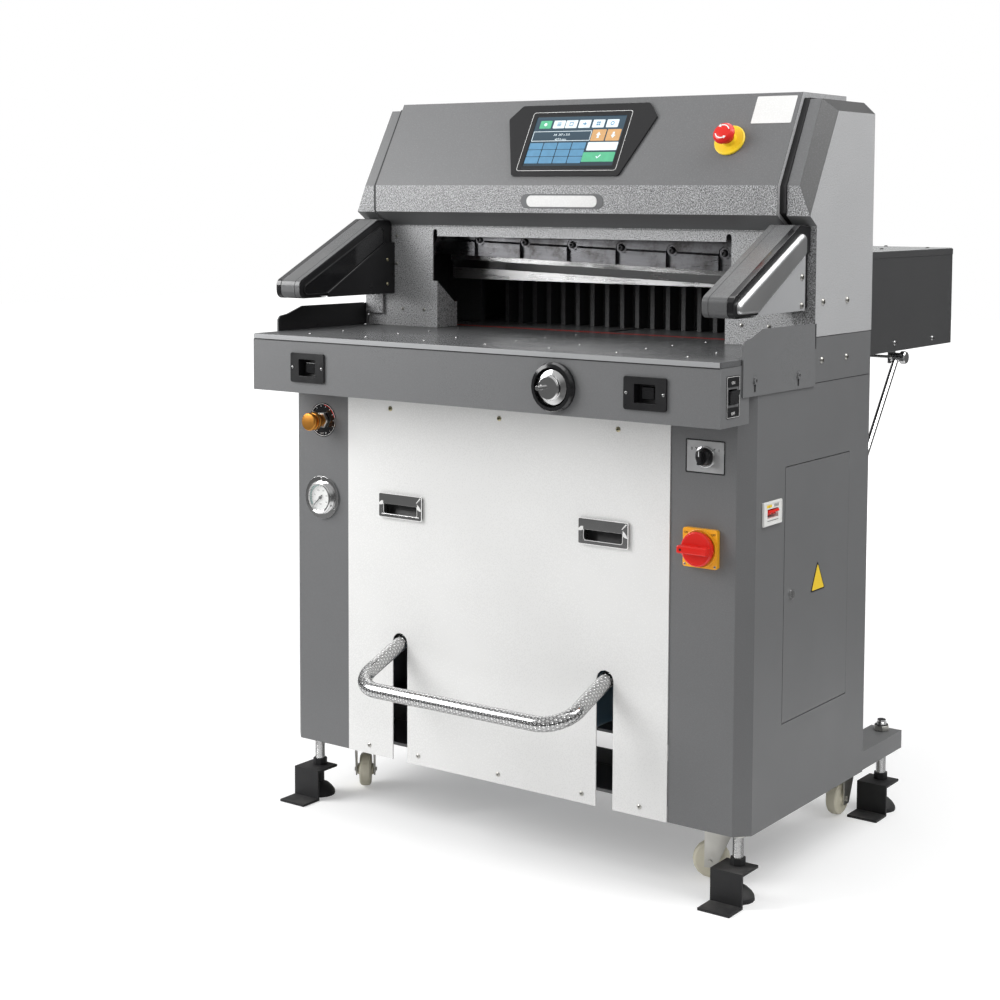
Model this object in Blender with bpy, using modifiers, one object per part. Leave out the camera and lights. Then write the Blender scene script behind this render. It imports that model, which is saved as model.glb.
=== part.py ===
"""Electric hydraulic paper cutter as separate named pieces, in metres, +Z up.

All sizes are named in the first section. Y in those sizes is measured from the
front plane of the two columns; one parent empty carries the whole machine back
so that its box is centred over the origin.
"""
import math

import bmesh
import bpy
from mathutils import Matrix, Vector

# Shared sizes
UNIT = 1.0
MERGE = 0.00002
GAP = 0.0003
SHEET = 0.003
CUT_OVER = 0.01
ROUND_STEPS = 16
FINE_STEPS = 24
CORNER_STEPS = 3
SMALL_STEPS = 12
SHARP_DEG = 35.0
FLAT_DEG = 0.1
ROUND_SHARE = 0.98

# Cabinet
HALF_WIDTH = 0.5
FLOOR_GAP = 0.12
CABINET_DEPTH = 0.4504
COLUMN_WIDE = 0.1478
COLUMN_INNER_X = HALF_WIDTH - COLUMN_WIDE
COLUMN_CHAMFER = 0.0237
COLUMN_TOP = 0.904
COLUMN_REAR_TOP = 0.9335
COLUMN_STEP_Y = 0.2262
PANEL_FRONT_Y = -0.002
PANEL_THICK = 0.0025
PANEL_TOP = 0.86
TREADLE_ARM_IN = 0.1257
TREADLE_ARM_X = COLUMN_INNER_X - TREADLE_ARM_IN
PANEL_SLOT_ROOM = (0.0175, 0.0171)
PANEL_SLOT_IN = TREADLE_ARM_X - PANEL_SLOT_ROOM[0]
PANEL_SLOT_OUT = TREADLE_ARM_X + PANEL_SLOT_ROOM[1]
PANEL_SLOT_TOP = 0.362
HANDLE_FROM_COLUMN = 0.0785
HANDLE_LONG = 0.1022
HANDLE_OUT = COLUMN_INNER_X - HANDLE_FROM_COLUMN
HANDLE_IN = HANDLE_OUT - HANDLE_LONG
HANDLE_LOW = 0.577
HANDLE_HIGH = 0.623
HANDLE_FLANGE = 0.0045
HANDLE_RIM = 0.007
HANDLE_DEPTH = 0.016
HANDLE_BODY_RIM = 0.003
HANDLE_WALL = 0.0015
HANDLE_GRIP = 0.013
RAIL_WIDE = 0.066
RAIL_INNER_X = HALF_WIDTH - RAIL_WIDE
RAIL_TOP = 0.154
RAIL_REAR_Y = 0.632
RAIL_START_Y = 0.0285
CROSS_FRONT = (0.07, 0.2)
CROSS_REAR = (0.38, 0.44)
CROSS_THICK = 0.006
REAR_PANEL_TOP = 0.8765
DOOR_Y = (0.1245, 0.3714)
DOOR_Z = (0.284, 0.7234)
DOOR_GAP = 0.0015
DOOR_BACK = 0.0035
LOCK_YZ = (0.1517, 0.5031)
LOCK_RADIUS = 0.0085
LOCK_FACE = 0.0025
LOCK_KEY_HALF = 0.0012
LOCK_KEY_LONG = 0.0045
LOCK_KEY_DEPTH = 0.0016
LOCK_BARREL = 0.0065
LOCK_DEPTH = 0.018
LOCK_TONGUE = (0.034, 0.0056, 0.0025)
BREAKER_Y = (0.0427, 0.107)
BREAKER_Z = (0.633, 0.673)
BREAKER_FACE = 0.0035
BREAKER_DEPTH = 0.05
BREAKER_SLOT_Y = (0.056, 0.094)
BREAKER_SLOT_Z = (0.6455, 0.6605)
BREAKER_SLOT_DEPTH = 0.012
BREAKER_PIVOT_IN = 0.006
BREAKER_PIVOT_X = HALF_WIDTH - BREAKER_PIVOT_IN
TOGGLE_HUB = 0.0055
TOGGLE_Y = (0.0564, 0.0936)
TOGGLE_REACH = 0.0125
TOGGLE_THICK = 0.0022
TOGGLE_TILT_DEG = 20.0

# Inner frames
FRAME_IN = 0.039
FRAME_THICK = 0.015
FRAME_X = (HALF_WIDTH - FRAME_IN - FRAME_THICK, HALF_WIDTH - FRAME_IN)
FRAME_Y = (0.3385, 0.432)
FRAME_TOP = 1.18
GUIDE_WIDE = 0.031
GUIDE_IN = 0.006
GUIDE_X = (FRAME_X[1] - GUIDE_IN - GUIDE_WIDE, FRAME_X[1] - GUIDE_IN)
GUIDE_Y = (0.3188, 0.345)
GUIDE_Z = (0.96, 1.18)
BED_Z = (0.86, 0.9042)
BED_Y = (0.345, 0.375)
CROWN_Z = (1.1, 1.135)
CROWN_Y = (0.342, 0.4)

# Table
TABLE_TOP = 0.914
TABLE_THICK = 0.0095
TABLE_FRONT_Y = -0.1
TABLE_SIDE_IN = 0.0005
TABLE_HALF = HALF_WIDTH - TABLE_SIDE_IN
TABLE_WIDE_END_Y = 0.2255
TABLE_NARROW_IN = 0.0565
TABLE_NARROW_HALF = HALF_WIDTH - TABLE_NARROW_IN
TABLE_REAR_Y = 0.318
TABLE_CORNER = 0.004
STICK_Y = (0.3185, 0.3345)
STICK_DEPTH = 0.012
STICK_END_IN = 0.0435
STICK_HALF = TABLE_NARROW_HALF - STICK_END_IN
REAR_TABLE_Y = (0.335, 0.962)
REAR_TABLE_SIDE_IN = 0.007
REAR_TABLE_HALF = TABLE_NARROW_HALF - REAR_TABLE_SIDE_IN
SCREW_SLOT_HALF = 0.0125
SCREW_SLOT_Y = (0.36, 0.945)
APRON_HALF = HALF_WIDTH + GAP
APRON_Z = (0.8088, 0.904)
APRON_REAR_Y = -0.0065
BRACKET_THICK = 0.003
BRACKET_YZ = (
    (-0.0326, 0.8525), (0.2239, 0.8512), (0.2198, 0.9584),
    (0.0364, 0.9595), (-0.0056, 0.946), (-0.0264, 0.943), (-0.0321, 0.9362),
)
BRACKET_SCREWS_YZ = ((0.0066, 0.8775), (0.1596, 0.8751))
BRACKET_SCREW_RADIUS = 0.0068
BRACKET_SCREW_HIGH = 0.0034
BRACKET_SOCKET = 0.003
BRACKET_TAB = ((-0.03, 0.862), (-0.0085, 0.898))
SOCKET_STEPS = 6

# Apron controls
BUTTON_SIDE_IN = 0.0968
BUTTON_WIDE = 0.081
BUTTON_X = (APRON_HALF - BUTTON_SIDE_IN - BUTTON_WIDE, APRON_HALF - BUTTON_SIDE_IN)
BUTTON_Z = (0.829, 0.8835)
BEZEL_PROUD = 0.004
BEZEL_WALL = 0.0025
BEZEL_DEPTH = 0.03
BEZEL_MOUTH = (0.04, 0.031)
KEY_SIZE = (0.024, 0.02)
KEY_FRONT_Y = -0.094
KEY_BACK_Y = -0.0795
KEY_TRAVEL = 0.006
BEZEL_FLOOR_Y = -0.086
KEY_ROUND = 0.002
DIAL_XZ = (0.185, 0.8557)
DIAL_PROFILE = (
    (0.0, -0.084), (0.0335, -0.084), (0.0335, -0.1125), (0.0395, -0.1115), (0.0425, -0.107),
    (0.0425, -0.1003), (0.0395, -0.1003), (0.0395, -0.08), (0.0, -0.08),
)
DIAL_HOLE = 0.0405
WHEEL_PROFILE = (
    (0.0, -0.121), (0.019, -0.121), (0.0215, -0.1185), (0.0215, -0.112),
    (0.03, -0.1085), (0.032, -0.1), (0.032, -0.089), (0.0305, -0.0865),
    (0.006, -0.0865), (0.006, -0.0843), (0.0, -0.0843),
)
WHEEL_PIN = (0.0125, 0.004, -0.1335)
ROCKER_Y = (-0.078, -0.043)
ROCKER_Z = (0.8411, 0.8722)
ROCKER_RIM = 0.003
ROCKER_PIVOT_IN = 0.0048
ROCKER_PIVOT_X = APRON_HALF - ROCKER_PIVOT_IN
ROCKER_PROUD = 0.0062
ROCKER_LOW = 0.0035
ROCKER_BACK = 0.0085
ROCKER_PLAY = 0.0012

# Body face and window
FACE_Y = 0.2315
FACE_SIDE_IN = 0.0035
FACE_HALF = HALF_WIDTH - FACE_SIDE_IN
FACE_TOP = 1.1125
WINDOW_SIDE_IN = 0.1635
WINDOW_HALF = FACE_HALF - WINDOW_SIDE_IN
WINDOW_TOP = 1.094
WINDOW_EAR_TOP = 1.108
WINDOW_EAR_WIDE = 0.011
CHEEK_IN = 0.011
CHEEK_X = WINDOW_HALF - CHEEK_IN
CHEEK_TOP = 1.006
CHEEK_YZ = (
    (0.233, 0.9145), (0.296, 0.9145), (0.296, 0.9635), (0.287, 0.9635), (0.237, 1.002), (0.233, 1.002),
)
LIP_REACH = 0.262
LIP_THICK = 0.0025

# Hood
HOOD_SIDE_IN = 0.0563
HOOD_HALF = HALF_WIDTH - HOOD_SIDE_IN
HOOD_YZ = (
    (0.2315, 1.1155), (0.1896, 1.1416), (0.1896, 1.1928), (0.2784, 1.3547),
    (0.4504, 1.3547), (0.4504, 1.073), (0.4474, 1.073),
)
HOOD_SHEET = 0.0025
HOOD_END_Y = 0.27
HOOD_END_Z = 1.186
CAP_WIDE = 0.0445
CAP_INNER_X = HALF_WIDTH - CAP_WIDE
CAP_YZ = (
    (0.2255, 0.9345), (0.2255, 1.1242), (0.2006, 1.1407), (0.2006, 1.1922),
    (0.283, 1.3426), (0.4521, 1.3426), (0.4521, 0.9345),
)
CAP_CHAMFER = 0.0224
CAP_EDGE_X = HALF_WIDTH - CAP_CHAMFER
CAP_SIDE_EDGE_YZ = ((0.2006, 1.1407), (0.3034, 1.3219))
SCREEN_BEZEL_XZ = (
    (0.165, 1.3165), (0.141, 1.342), (-0.141, 1.342),
    (-0.165, 1.3165), (-0.1185, 1.209), (0.1185, 1.209),
)
SCREEN_BEZEL_THICK = 0.004
SCREEN_BEZEL_ROUND = 0.006
SCREEN_HALF = 0.102
SCREEN_Z = (1.223, 1.323)
SCREEN_THICK = 0.003
ESTOP_SIDE_IN = 0.1167
ESTOP_XZ = (HOOD_HALF - ESTOP_SIDE_IN, 1.2705)
ESTOP_BASE = ((0.0, 0.004), (0.028, 0.004), (0.0295, 0.0025), (0.0295, 0.0), (0.0, 0.0))
ESTOP_COLLAR = ((0.0128, 0.012), (0.0142, 0.012), (0.0142, 0.0035), (0.0128, 0.0035))
ESTOP_HEAD = (
    (0.0, 0.0335), (0.009, 0.0332), (0.0155, 0.0318), (0.0195, 0.0285), (0.0205, 0.025),
    (0.0198, 0.0225), (0.012, 0.018), (0.0122, 0.0085), (0.0, 0.0085),
)

# Guard arms at both sides of the mouth
GUARD_SIDE_IN = 0.0095
GUARD_WIDE = 0.0575
GUARD_X = (HALF_WIDTH - GUARD_SIDE_IN - GUARD_WIDE, HALF_WIDTH - GUARD_SIDE_IN)
GUARD_YZ = (
    (-0.045, 0.987), (-0.045, 1.003), (-0.036, 1.0145), (0.178, 1.1215), (0.188, 1.1245),
    (0.2145, 1.1245), (0.2252, 1.117), (0.2252, 1.0785), (0.2, 1.07), (0.036, 0.98), (-0.038, 0.98),
)
GUARD_ROUND = 0.003
GUARD_PLATE_IN = 0.001
GUARD_PLATE_X = (GUARD_X[1] - GUARD_PLATE_IN - SHEET, GUARD_X[1] - GUARD_PLATE_IN)
GUARD_PLATE_YZ = ((0.037, 0.9805), (0.206, 0.9805), (0.206, 1.077), (0.2, 1.0745), (0.037, 0.985))
GUARD_POST_IN = (0.004, 0.002)
GUARD_POST_X = (GUARD_X[0] + GUARD_POST_IN[0], GUARD_X[1] - GUARD_POST_IN[1])
GUARD_POST_Y = (0.201, 0.2247)
GUARD_POST_Z = (0.9143, 1.09)

# Column controls
GAUGE_SIDE_IN = 0.083
GAUGE_XZ = (-HALF_WIDTH + GAUGE_SIDE_IN, 0.5985)
GAUGE_PROFILE = (
    (0.0, -0.0065), (0.0255, -0.0065), (0.0255, -0.0135), (0.0285, -0.0145), (0.031, -0.0125),
    (0.0315, -0.0045), (0.041, -0.004), (0.041, -0.0005), (0.0, -0.0005),
)
NEEDLE_Y = (-0.0095, -0.008)
NEEDLE_HUB = 0.003
NEEDLE_REST_DEG = -135.0
NEEDLE_XZ = ((-0.0012, -0.007), (0.0012, -0.007), (0.0005, 0.0205), (-0.0005, 0.0205))
NEEDLE_HUB_BACK = -0.0068
PRESSURE_SIDE_IN = 0.0842
PRESSURE_XZ = (-HALF_WIDTH + PRESSURE_SIDE_IN, 0.747)
PRESSURE_PROFILE = (
    (0.0, -0.043), (0.0145, -0.043), (0.0165, -0.0415), (0.017, -0.039), (0.017, -0.0225),
    (0.0155, -0.021), (0.0115, -0.0205), (0.0115, -0.0008), (0.0, -0.0008),
)
SELECTOR_SIDE_IN = 0.0826
SELECTOR_XZ = (HALF_WIDTH - SELECTOR_SIDE_IN, 0.7475)
SELECTOR_PROFILE = (
    (0.0, -0.013), (0.0105, -0.013), (0.0125, -0.011), (0.0128, -0.0045),
    (0.0145, -0.0035), (0.0145, -0.0004), (0.0, -0.0004),
)
SELECTOR_GRIP = ((0.0035, 0.0115), (-0.0225, -0.012))
SWITCH_SIDE_IN = 0.0534
SWITCH_WIDE = 0.0651
SWITCH_X = (HALF_WIDTH - SWITCH_SIDE_IN - SWITCH_WIDE, HALF_WIDTH - SWITCH_SIDE_IN)
SWITCH_Z = (0.5638, 0.6289)
SWITCH_THICK = 0.009
SWITCH_ROUND = 0.004
SWITCH_PROFILE = (
    (0.0, -0.0235), (0.0265, -0.0235), (0.029, -0.0215), (0.0295, -0.0185),
    (0.0275, -0.0095), (0.0, -0.0095),
)
SWITCH_GRIP = ((0.0068, 0.0285), (-0.0385, -0.0225))
SWITCH_GRIP_ROUND = 0.003

# Knife, clamp and gauge behind the body face
EDGE_MID_Z = 1.021
EDGE_FALL_SHARE = -0.028333
BLADE_PAST_WINDOW = 0.022
BLADE_HALF = WINDOW_HALF + BLADE_PAST_WINDOW
BLADE_YZ = ((0.3283, 1.021), (0.3283, 1.111), (0.3188, 1.111), (0.3188, 1.037))
CARRIER_END_IN = (0.0725, 0.055)
CARRIER_X = (-HALF_WIDTH + CARRIER_END_IN[0], HALF_WIDTH - CARRIER_END_IN[1])
CARRIER_YZ = ((0.298, 1.047), (0.3185, 1.047), (0.3185, 1.165), (0.3, 1.165), (0.3, 1.078), (0.298, 1.074))
CARRIER_BOLT_MID_X = 0.0057
CARRIER_BOLT_PITCH_SHARE = 0.15492958
CARRIER_BOLT_PITCH = BLADE_HALF * 2 * CARRIER_BOLT_PITCH_SHARE
CARRIER_BOLT_STEP_SHARES = (-2.5, -1.5, -0.5, 0.5, 1.5, 2.5)
CARRIER_BOLT_Z = 1.0795
CARRIER_BOLT_RADIUS = 0.0075
CARRIER_BOLT_FRONT = 0.2995
CARRIER_POCKET_HALF = 0.0115
CARRIER_POCKET_BACK = 0.305
CARRIER_POCKET_LOW = 1.03
PIN_PAST_WINDOW = 0.002
PIN_XZ = (-WINDOW_HALF - PIN_PAST_WINDOW, 1.15)
PIN_RADIUS = 0.008
PIN_CLEAR = 0.0003
PIN_BACK_Y = 0.317
ROD_Y = (0.276, 0.2977)
ROD_HALF = 0.011
ROD_EYE = 0.0175
ROD_LENGTH = 0.163
ROD_SIDE_SHARE = -0.5
ROD_DOWN_SHARE = -0.8660254
CLAMP_PAST_BLADE = 0.005
CLAMP_HALF = BLADE_HALF + CLAMP_PAST_BLADE
CLAMP_Y = (0.332, 0.4)
CLAMP_Z = (1.0075, 1.095)
CLAMP_NOTCH_HALF = 0.0066
CLAMP_NOTCH_Y = 0.36
CLAMP_NOTCH_TOP = 1.085
COMB_COUNT_EACH_SIDE = 9
COMB_END_IN = 0.018
COMB_PITCH = (WINDOW_HALF - COMB_END_IN) / COMB_COUNT_EACH_SIDE
COMB_FINGER_HALF = 0.0045
COMB_Y = (0.457, 0.49, 0.512)
COMB_Z = (0.9145, 1.004)
COMB_HALF = WINDOW_HALF
COMB_STEM = ((-0.0115, 0.493, 0.89), (0.0115, 0.51, 0.93))
COMB_NUT = ((-0.02, 0.49, 0.8815), (0.02, 0.513, 0.9025))
CLAMP_ROD_IN = 0.11
CLAMP_ROD_X = CLAMP_HALF - CLAMP_ROD_IN
CLAMP_ROD_Y = 0.371
CLAMP_ROD_PROFILE = (
    (0.0, 1.315), (0.012, 1.315), (0.014, 1.312), (0.014, 1.3), (0.0095, 1.3),
    (0.0095, 1.098), (0.016, 1.098), (0.016, 1.09), (0.0, 1.09),
)
CLAMP_ROD_CLEAR = 0.0098
SCREW_XZ = (0.0, 0.892)
SCREW_RADIUS = 0.007
SCREW_CLEAR = 0.0073
SCREW_Y = (0.3753, 0.967)

# Rear box
BOX_SIDE_IN = 0.06
BOX_HALF = HALF_WIDTH - BOX_SIDE_IN
BOX_Y = (0.4508, 0.97)
BOX_Z = (0.877, 1.0705)
BOX_SHEET = 0.0025
STRUT_IN = 0.02
STRUT_X = BOX_HALF - STRUT_IN
STRUT_TOP_YZ = (0.746, 0.861)
STRUT_LOW_YZ = (0.4613, 0.4836)
STRUT_RADIUS = 0.006
STRUT_END_RADIUS = 0.009
STRUT_END_HALF = 0.009
STRUT_SHACKLE_X = (STRUT_X - 0.0125, STRUT_X - 0.0083)
STRUT_SHACKLE = ((STRUT_SHACKLE_X[0], 0.732, 0.849), (STRUT_SHACKLE_X[1], 0.76, 0.8767))
STRUT_FOOT_HALF = 0.016
STRUT_FOOT = ((STRUT_X - STRUT_FOOT_HALF, 0.4507, 0.462), (STRUT_X + STRUT_FOOT_HALF, 0.4537, 0.498))
STRUT_EAR_X = (STRUT_X - 0.0123, STRUT_X - 0.0081)
STRUT_FOOT_EAR = ((STRUT_EAR_X[0], 0.452, 0.47), (STRUT_EAR_X[1], 0.4705, 0.496))
STRUT_KNOB_OUT = (0.0105, 0.0195, 0.0215)
STRUT_KNOB = (
    (0.0, STRUT_X + STRUT_KNOB_OUT[2]), (0.011, STRUT_X + STRUT_KNOB_OUT[2]),
    (0.0125, STRUT_X + STRUT_KNOB_OUT[1]),
    (0.0125, STRUT_X + STRUT_KNOB_OUT[0]), (0.0, STRUT_X + STRUT_KNOB_OUT[0]),
)
STRUT_CROSS_RADIUS = 0.003
STRUT_PIN_REACH = (0.0165, 0.0115)
STRUT_PIN = (STRUT_X - STRUT_PIN_REACH[0], STRUT_X + STRUT_PIN_REACH[1], 0.004)

# Treadle
TREADLE_PIVOT_YZ = (0.13, 0.392)
TREADLE_BAR_YZ = (-0.1355, 0.2908)
TREADLE_RADIUS = 0.0135
TREADLE_BEND = 0.055
TREADLE_BEND_STEPS = 6
TREADLE_SHAFT_RADIUS = 0.011
TREADLE_HUB = 0.02
TREADLE_HUB_HALF = 0.0155
TREADLE_SHAFT_IN = 0.0545
TREADLE_SHAFT_HALF = HALF_WIDTH - TREADLE_SHAFT_IN

# Feet and casters
FOOT_SIDE_IN = 0.035
FOOT_XY = ((HALF_WIDTH - FOOT_SIDE_IN, 0.043), (HALF_WIDTH - FOOT_SIDE_IN, 0.61))
FOOT_PAD = (
    (0.0, 0.024), (0.011, 0.024), (0.016, 0.0215), (0.0245, 0.0135), (0.0285, 0.0075),
    (0.029, 0.003), (0.029, 0.0), (0.0, 0.0),
)
FOOT_STEM = (
    (0.0, 0.176), (0.0072, 0.176), (0.008, 0.175), (0.008, 0.166), (0.013, 0.166), (0.013, 0.1543),
    (0.008, 0.1543), (0.008, 0.072), (0.0135, 0.072), (0.0135, 0.06), (0.008, 0.06), (0.008, 0.022),
    (0.0, 0.022),
)
FOOT_CLEAR = 0.0083
FOOT_BRACKET_HALF = 0.03
FOOT_BRACKET_YZ = (
    (-0.083, 0.0), (-0.0365, 0.0), (-0.0365, 0.055), (0.016, 0.055),
    (0.016, 0.0597), (-0.041, 0.0597), (-0.041, 0.0045), (-0.083, 0.0045),
)
CASTER_SIDE_IN = 0.095
CASTER_PIVOT = (HALF_WIDTH - CASTER_SIDE_IN, 0.108)
CASTER_TRAIL_OUT = 0.015
CASTER_TRAIL_IN = 0.022
CASTER_WHEEL_XY = (
    (-CASTER_PIVOT[0] - CASTER_TRAIL_OUT, 0.128), (CASTER_PIVOT[0] - CASTER_TRAIL_IN, 0.0993),
)
CASTER_REAR_IN = 0.085
CASTER_REAR_XY = (HALF_WIDTH - CASTER_REAR_IN, 0.548)
CASTER_STRIP_HALF = 0.017
CASTER_STRIP_THICK = 0.0025
CASTER_REAR_TRAIL = 0.022
CASTER_AXLE_Z = 0.0355
CASTER_TOP_Z = 0.1197
CASTER_PLATE = (0.034, 0.027, 0.0035)
CASTER_NECK = 0.02
CASTER_NECK_LOW = 0.1
CASTER_CROWN_THICK = 0.0035
CASTER_CHEEK_HALF = 0.0165
CASTER_CHEEK_THICK = 0.0028
CASTER_CHEEK_WIDE = 0.017
CASTER_CHEEK_ROUND = 0.01
CASTER_WHEEL_PROFILE = (
    (0.0, 0.0155), (0.0105, 0.0155), (0.0115, 0.0125), (0.027, 0.0115), (0.0315, 0.0085), (0.0325, 0.004),
    (0.0325, -0.004), (0.0315, -0.0085), (0.027, -0.0115), (0.0115, -0.0125), (0.0105, -0.0155),
    (0.0, -0.0155),
)
CASTER_BORE = 0.0043
CASTER_AXLE_RADIUS = 0.004

# Hydraulic set inside the cabinet
TANK = ((-0.3, 0.19, 0.154), (0.02, 0.4395, 0.36))
TANK_ROUND = 0.008
MOTOR_XY = (-0.2, 0.28)
MOTOR_PROFILE = ((0.0, 0.56), (0.045, 0.56), (0.052, 0.552), (0.052, 0.37), (0.062, 0.37),
    (0.062, 0.358), (0.0, 0.358))
VALVE = ((-0.11, 0.24, 0.355), (-0.02, 0.32, 0.41))
CYLINDER_XY = (0.0, 0.371)
CYLINDER_PROFILE = ((0.0, 1.24), (0.022, 1.24), (0.026, 1.236), (0.026, 1.12), (0.0, 1.12))

# Colours: red, green, blue, roughness, metallic
LOOKS = {
    "grey_coat": (0.105, 0.11, 0.115, 0.45, 0.0),
    "white_coat": (0.8, 0.8, 0.79, 0.4, 0.0),
    "dark_frame": (0.05, 0.052, 0.055, 0.5, 0.0),
    "table_top": (0.13, 0.135, 0.14, 0.38, 0.0),
    "black_plastic": (0.012, 0.012, 0.013, 0.4, 0.0),
    "black_gloss": (0.008, 0.008, 0.009, 0.12, 0.0),
    "chrome": (0.75, 0.75, 0.76, 0.12, 1.0),
    "bright_steel": (0.6, 0.6, 0.6, 0.28, 1.0),
    "dark_steel": (0.09, 0.09, 0.095, 0.4, 1.0),
    "silver_coat": (0.42, 0.43, 0.44, 0.35, 0.6),
    "zinc": (0.55, 0.55, 0.53, 0.38, 1.0),
    "red": (0.7, 0.02, 0.015, 0.3, 0.0),
    "yellow": (0.85, 0.45, 0.03, 0.35, 0.0),
    "orange_anodised": (0.85, 0.32, 0.03, 0.25, 0.8),
    "cream_nylon": (0.72, 0.66, 0.5, 0.45, 0.0),
    "screen_glass": (0.02, 0.025, 0.03, 0.08, 0.0),
    "stick_red": (0.6, 0.03, 0.02, 0.5, 0.0),
    "lid_grey": (0.5, 0.5, 0.49, 0.45, 0.0),
    "white_plastic": (0.75, 0.75, 0.74, 0.4, 0.0),
    "rubber": (0.015, 0.015, 0.015, 0.7, 0.0),
    "tank_grey": (0.2, 0.21, 0.22, 0.5, 0.0),
}

PART_AXES = {
    "X": Matrix(((0, 0, 1, 0), (1, 0, 0, 0), (0, 1, 0, 0), (0, 0, 0, 1))),
    "Y": Matrix(((1, 0, 0, 0), (0, 0, -1, 0), (0, 1, 0, 0), (0, 0, 0, 1))),
    "Z": Matrix.Identity(4),
}
TURN_AXES = {
    "X": Matrix(((0, 0, 1, 0), (1, 0, 0, 0), (0, 1, 0, 0), (0, 0, 0, 1))),
    "Y": Matrix(((0, 1, 0, 0), (0, 0, 1, 0), (1, 0, 0, 0), (0, 0, 0, 1))),
    "Z": Matrix.Identity(4),
}


def clear_scene():
    for item in list(bpy.data.objects):
        bpy.data.objects.remove(item, do_unlink=True)


def new_collection(name):
    group = bpy.data.collections.new(name)
    bpy.context.scene.collection.children.link(group)
    return group


clear_scene()
PARTS = new_collection("electric_hydraulic_paper_cutter")
CUTTERS = new_collection("cutters")


def new_material(name):
    red, green, blue, rough, metal = LOOKS[name]
    made = bpy.data.materials.new(name)
    made.use_nodes = True
    shader = made.node_tree.nodes["Principled BSDF"]
    shader.inputs["Base Color"].default_value = (red, green, blue, UNIT)
    shader.inputs["Roughness"].default_value = rough
    shader.inputs["Metallic"].default_value = metal
    made.diffuse_color = (red, green, blue, UNIT)
    return made


def new_solid(mesh):
    """A working solid: it starts as a cutter and becomes a part in piece()."""
    solid = bpy.data.objects.new("cutter", mesh)
    CUTTERS.objects.link(solid)
    solid.hide_render = True
    solid.display_type = 'WIRE'
    return solid


def tidy_mesh(mesh):
    bm = bmesh.new()
    bm.from_mesh(mesh)
    bmesh.ops.remove_doubles(bm, verts=bm.verts, dist=MERGE)
    bmesh.ops.recalc_face_normals(bm, faces=bm.faces)
    bm.to_mesh(mesh)
    bm.free()


def merge_flat_faces(mesh):
    bm = bmesh.new()
    bm.from_mesh(mesh)
    bmesh.ops.dissolve_limit(bm, angle_limit=math.radians(FLAT_DEG), verts=bm.verts, edges=bm.edges)
    bm.to_mesh(mesh)
    bm.free()


def frozen(source):
    """The evaluated mesh of an object, with the object removed."""
    bpy.context.view_layer.update()
    graph = bpy.context.evaluated_depsgraph_get()
    mesh = bpy.data.meshes.new_from_object(source.evaluated_get(graph))
    mesh.transform(source.matrix_world)
    bpy.data.objects.remove(source, do_unlink=True)
    tidy_mesh(mesh)
    return mesh


def box(low, high):
    low, high = Vector(low), Vector(high)
    bm = bmesh.new()
    place = Matrix.LocRotScale((low + high) / 2, None, high - low)
    bmesh.ops.create_cube(bm, size=UNIT, matrix=place)
    mesh = bpy.data.meshes.new("box")
    bm.to_mesh(mesh)
    bm.free()
    return new_solid(mesh)


def plate(axis, outline, low, high, holes=()):
    """A flat outline with holes, drawn across the axis and thick along it."""
    curve = bpy.data.curves.new("outline", 'CURVE')
    curve.dimensions = '2D'
    curve.fill_mode = 'BOTH'
    curve.extrude = (high - low) / 2
    for ring in (outline, *holes):
        spline = curve.splines.new('POLY')
        spline.points.add(len(ring) - 1)
        for point, (across, up) in zip(spline.points, ring):
            point.co = (across, up, 0, UNIT)
        spline.use_cyclic_u = True
    drawn = bpy.data.objects.new("outline", curve)
    CUTTERS.objects.link(drawn)
    mesh = frozen(drawn)
    merge_flat_faces(mesh)
    middle = (low + high) / 2
    if axis == "Y":
        middle = -middle
    mesh.transform(PART_AXES[axis] @ Matrix.Translation((0, 0, middle)))
    return new_solid(mesh)


def turned(profile, axis="Z", centre=(0, 0, 0), steps=ROUND_STEPS, closed=False):
    """A profile of (radius, height) pairs turned about an axis."""
    mesh = bpy.data.meshes.new("profile")
    points = [(radius, 0, height) for radius, height in profile]
    edges = [(i, i + 1) for i in range(len(points) - 1)]
    if closed:
        edges.append((len(points) - 1, 0))
    mesh.from_pydata(points, edges, [])
    drawn = bpy.data.objects.new("profile", mesh)
    CUTTERS.objects.link(drawn)
    screw = drawn.modifiers.new("turn", 'SCREW')
    screw.steps = steps
    screw.render_steps = steps
    screw.use_merge_vertices = True
    screw.merge_threshold = MERGE
    screw.use_normal_calculate = True
    made = frozen(drawn)
    made.transform(Matrix.Translation(centre) @ TURN_AXES[axis])
    tidy_mesh(made)
    return smooth(new_solid(made))


def rod(radius, low, high, axis, centre=(0, 0, 0), steps=ROUND_STEPS):
    return turned(((0, high), (radius, high), (radius, low), (0, low)), axis, centre, steps)


def tube(points, radius, steps=CORNER_STEPS):
    curve = bpy.data.curves.new("tube", 'CURVE')
    curve.dimensions = '3D'
    curve.bevel_depth = radius
    curve.bevel_resolution = steps
    curve.fill_mode = 'FULL'
    curve.use_fill_caps = True
    spline = curve.splines.new('POLY')
    spline.points.add(len(points) - 1)
    for point, spot in zip(spline.points, points):
        point.co = (*spot, UNIT)
    drawn = bpy.data.objects.new("tube", curve)
    CUTTERS.objects.link(drawn)
    return smooth(new_solid(frozen(drawn)))


def smooth(solid):
    solid.data.shade_smooth()
    solid.data.set_sharp_from_angle(angle=math.radians(SHARP_DEG))
    return solid


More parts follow.
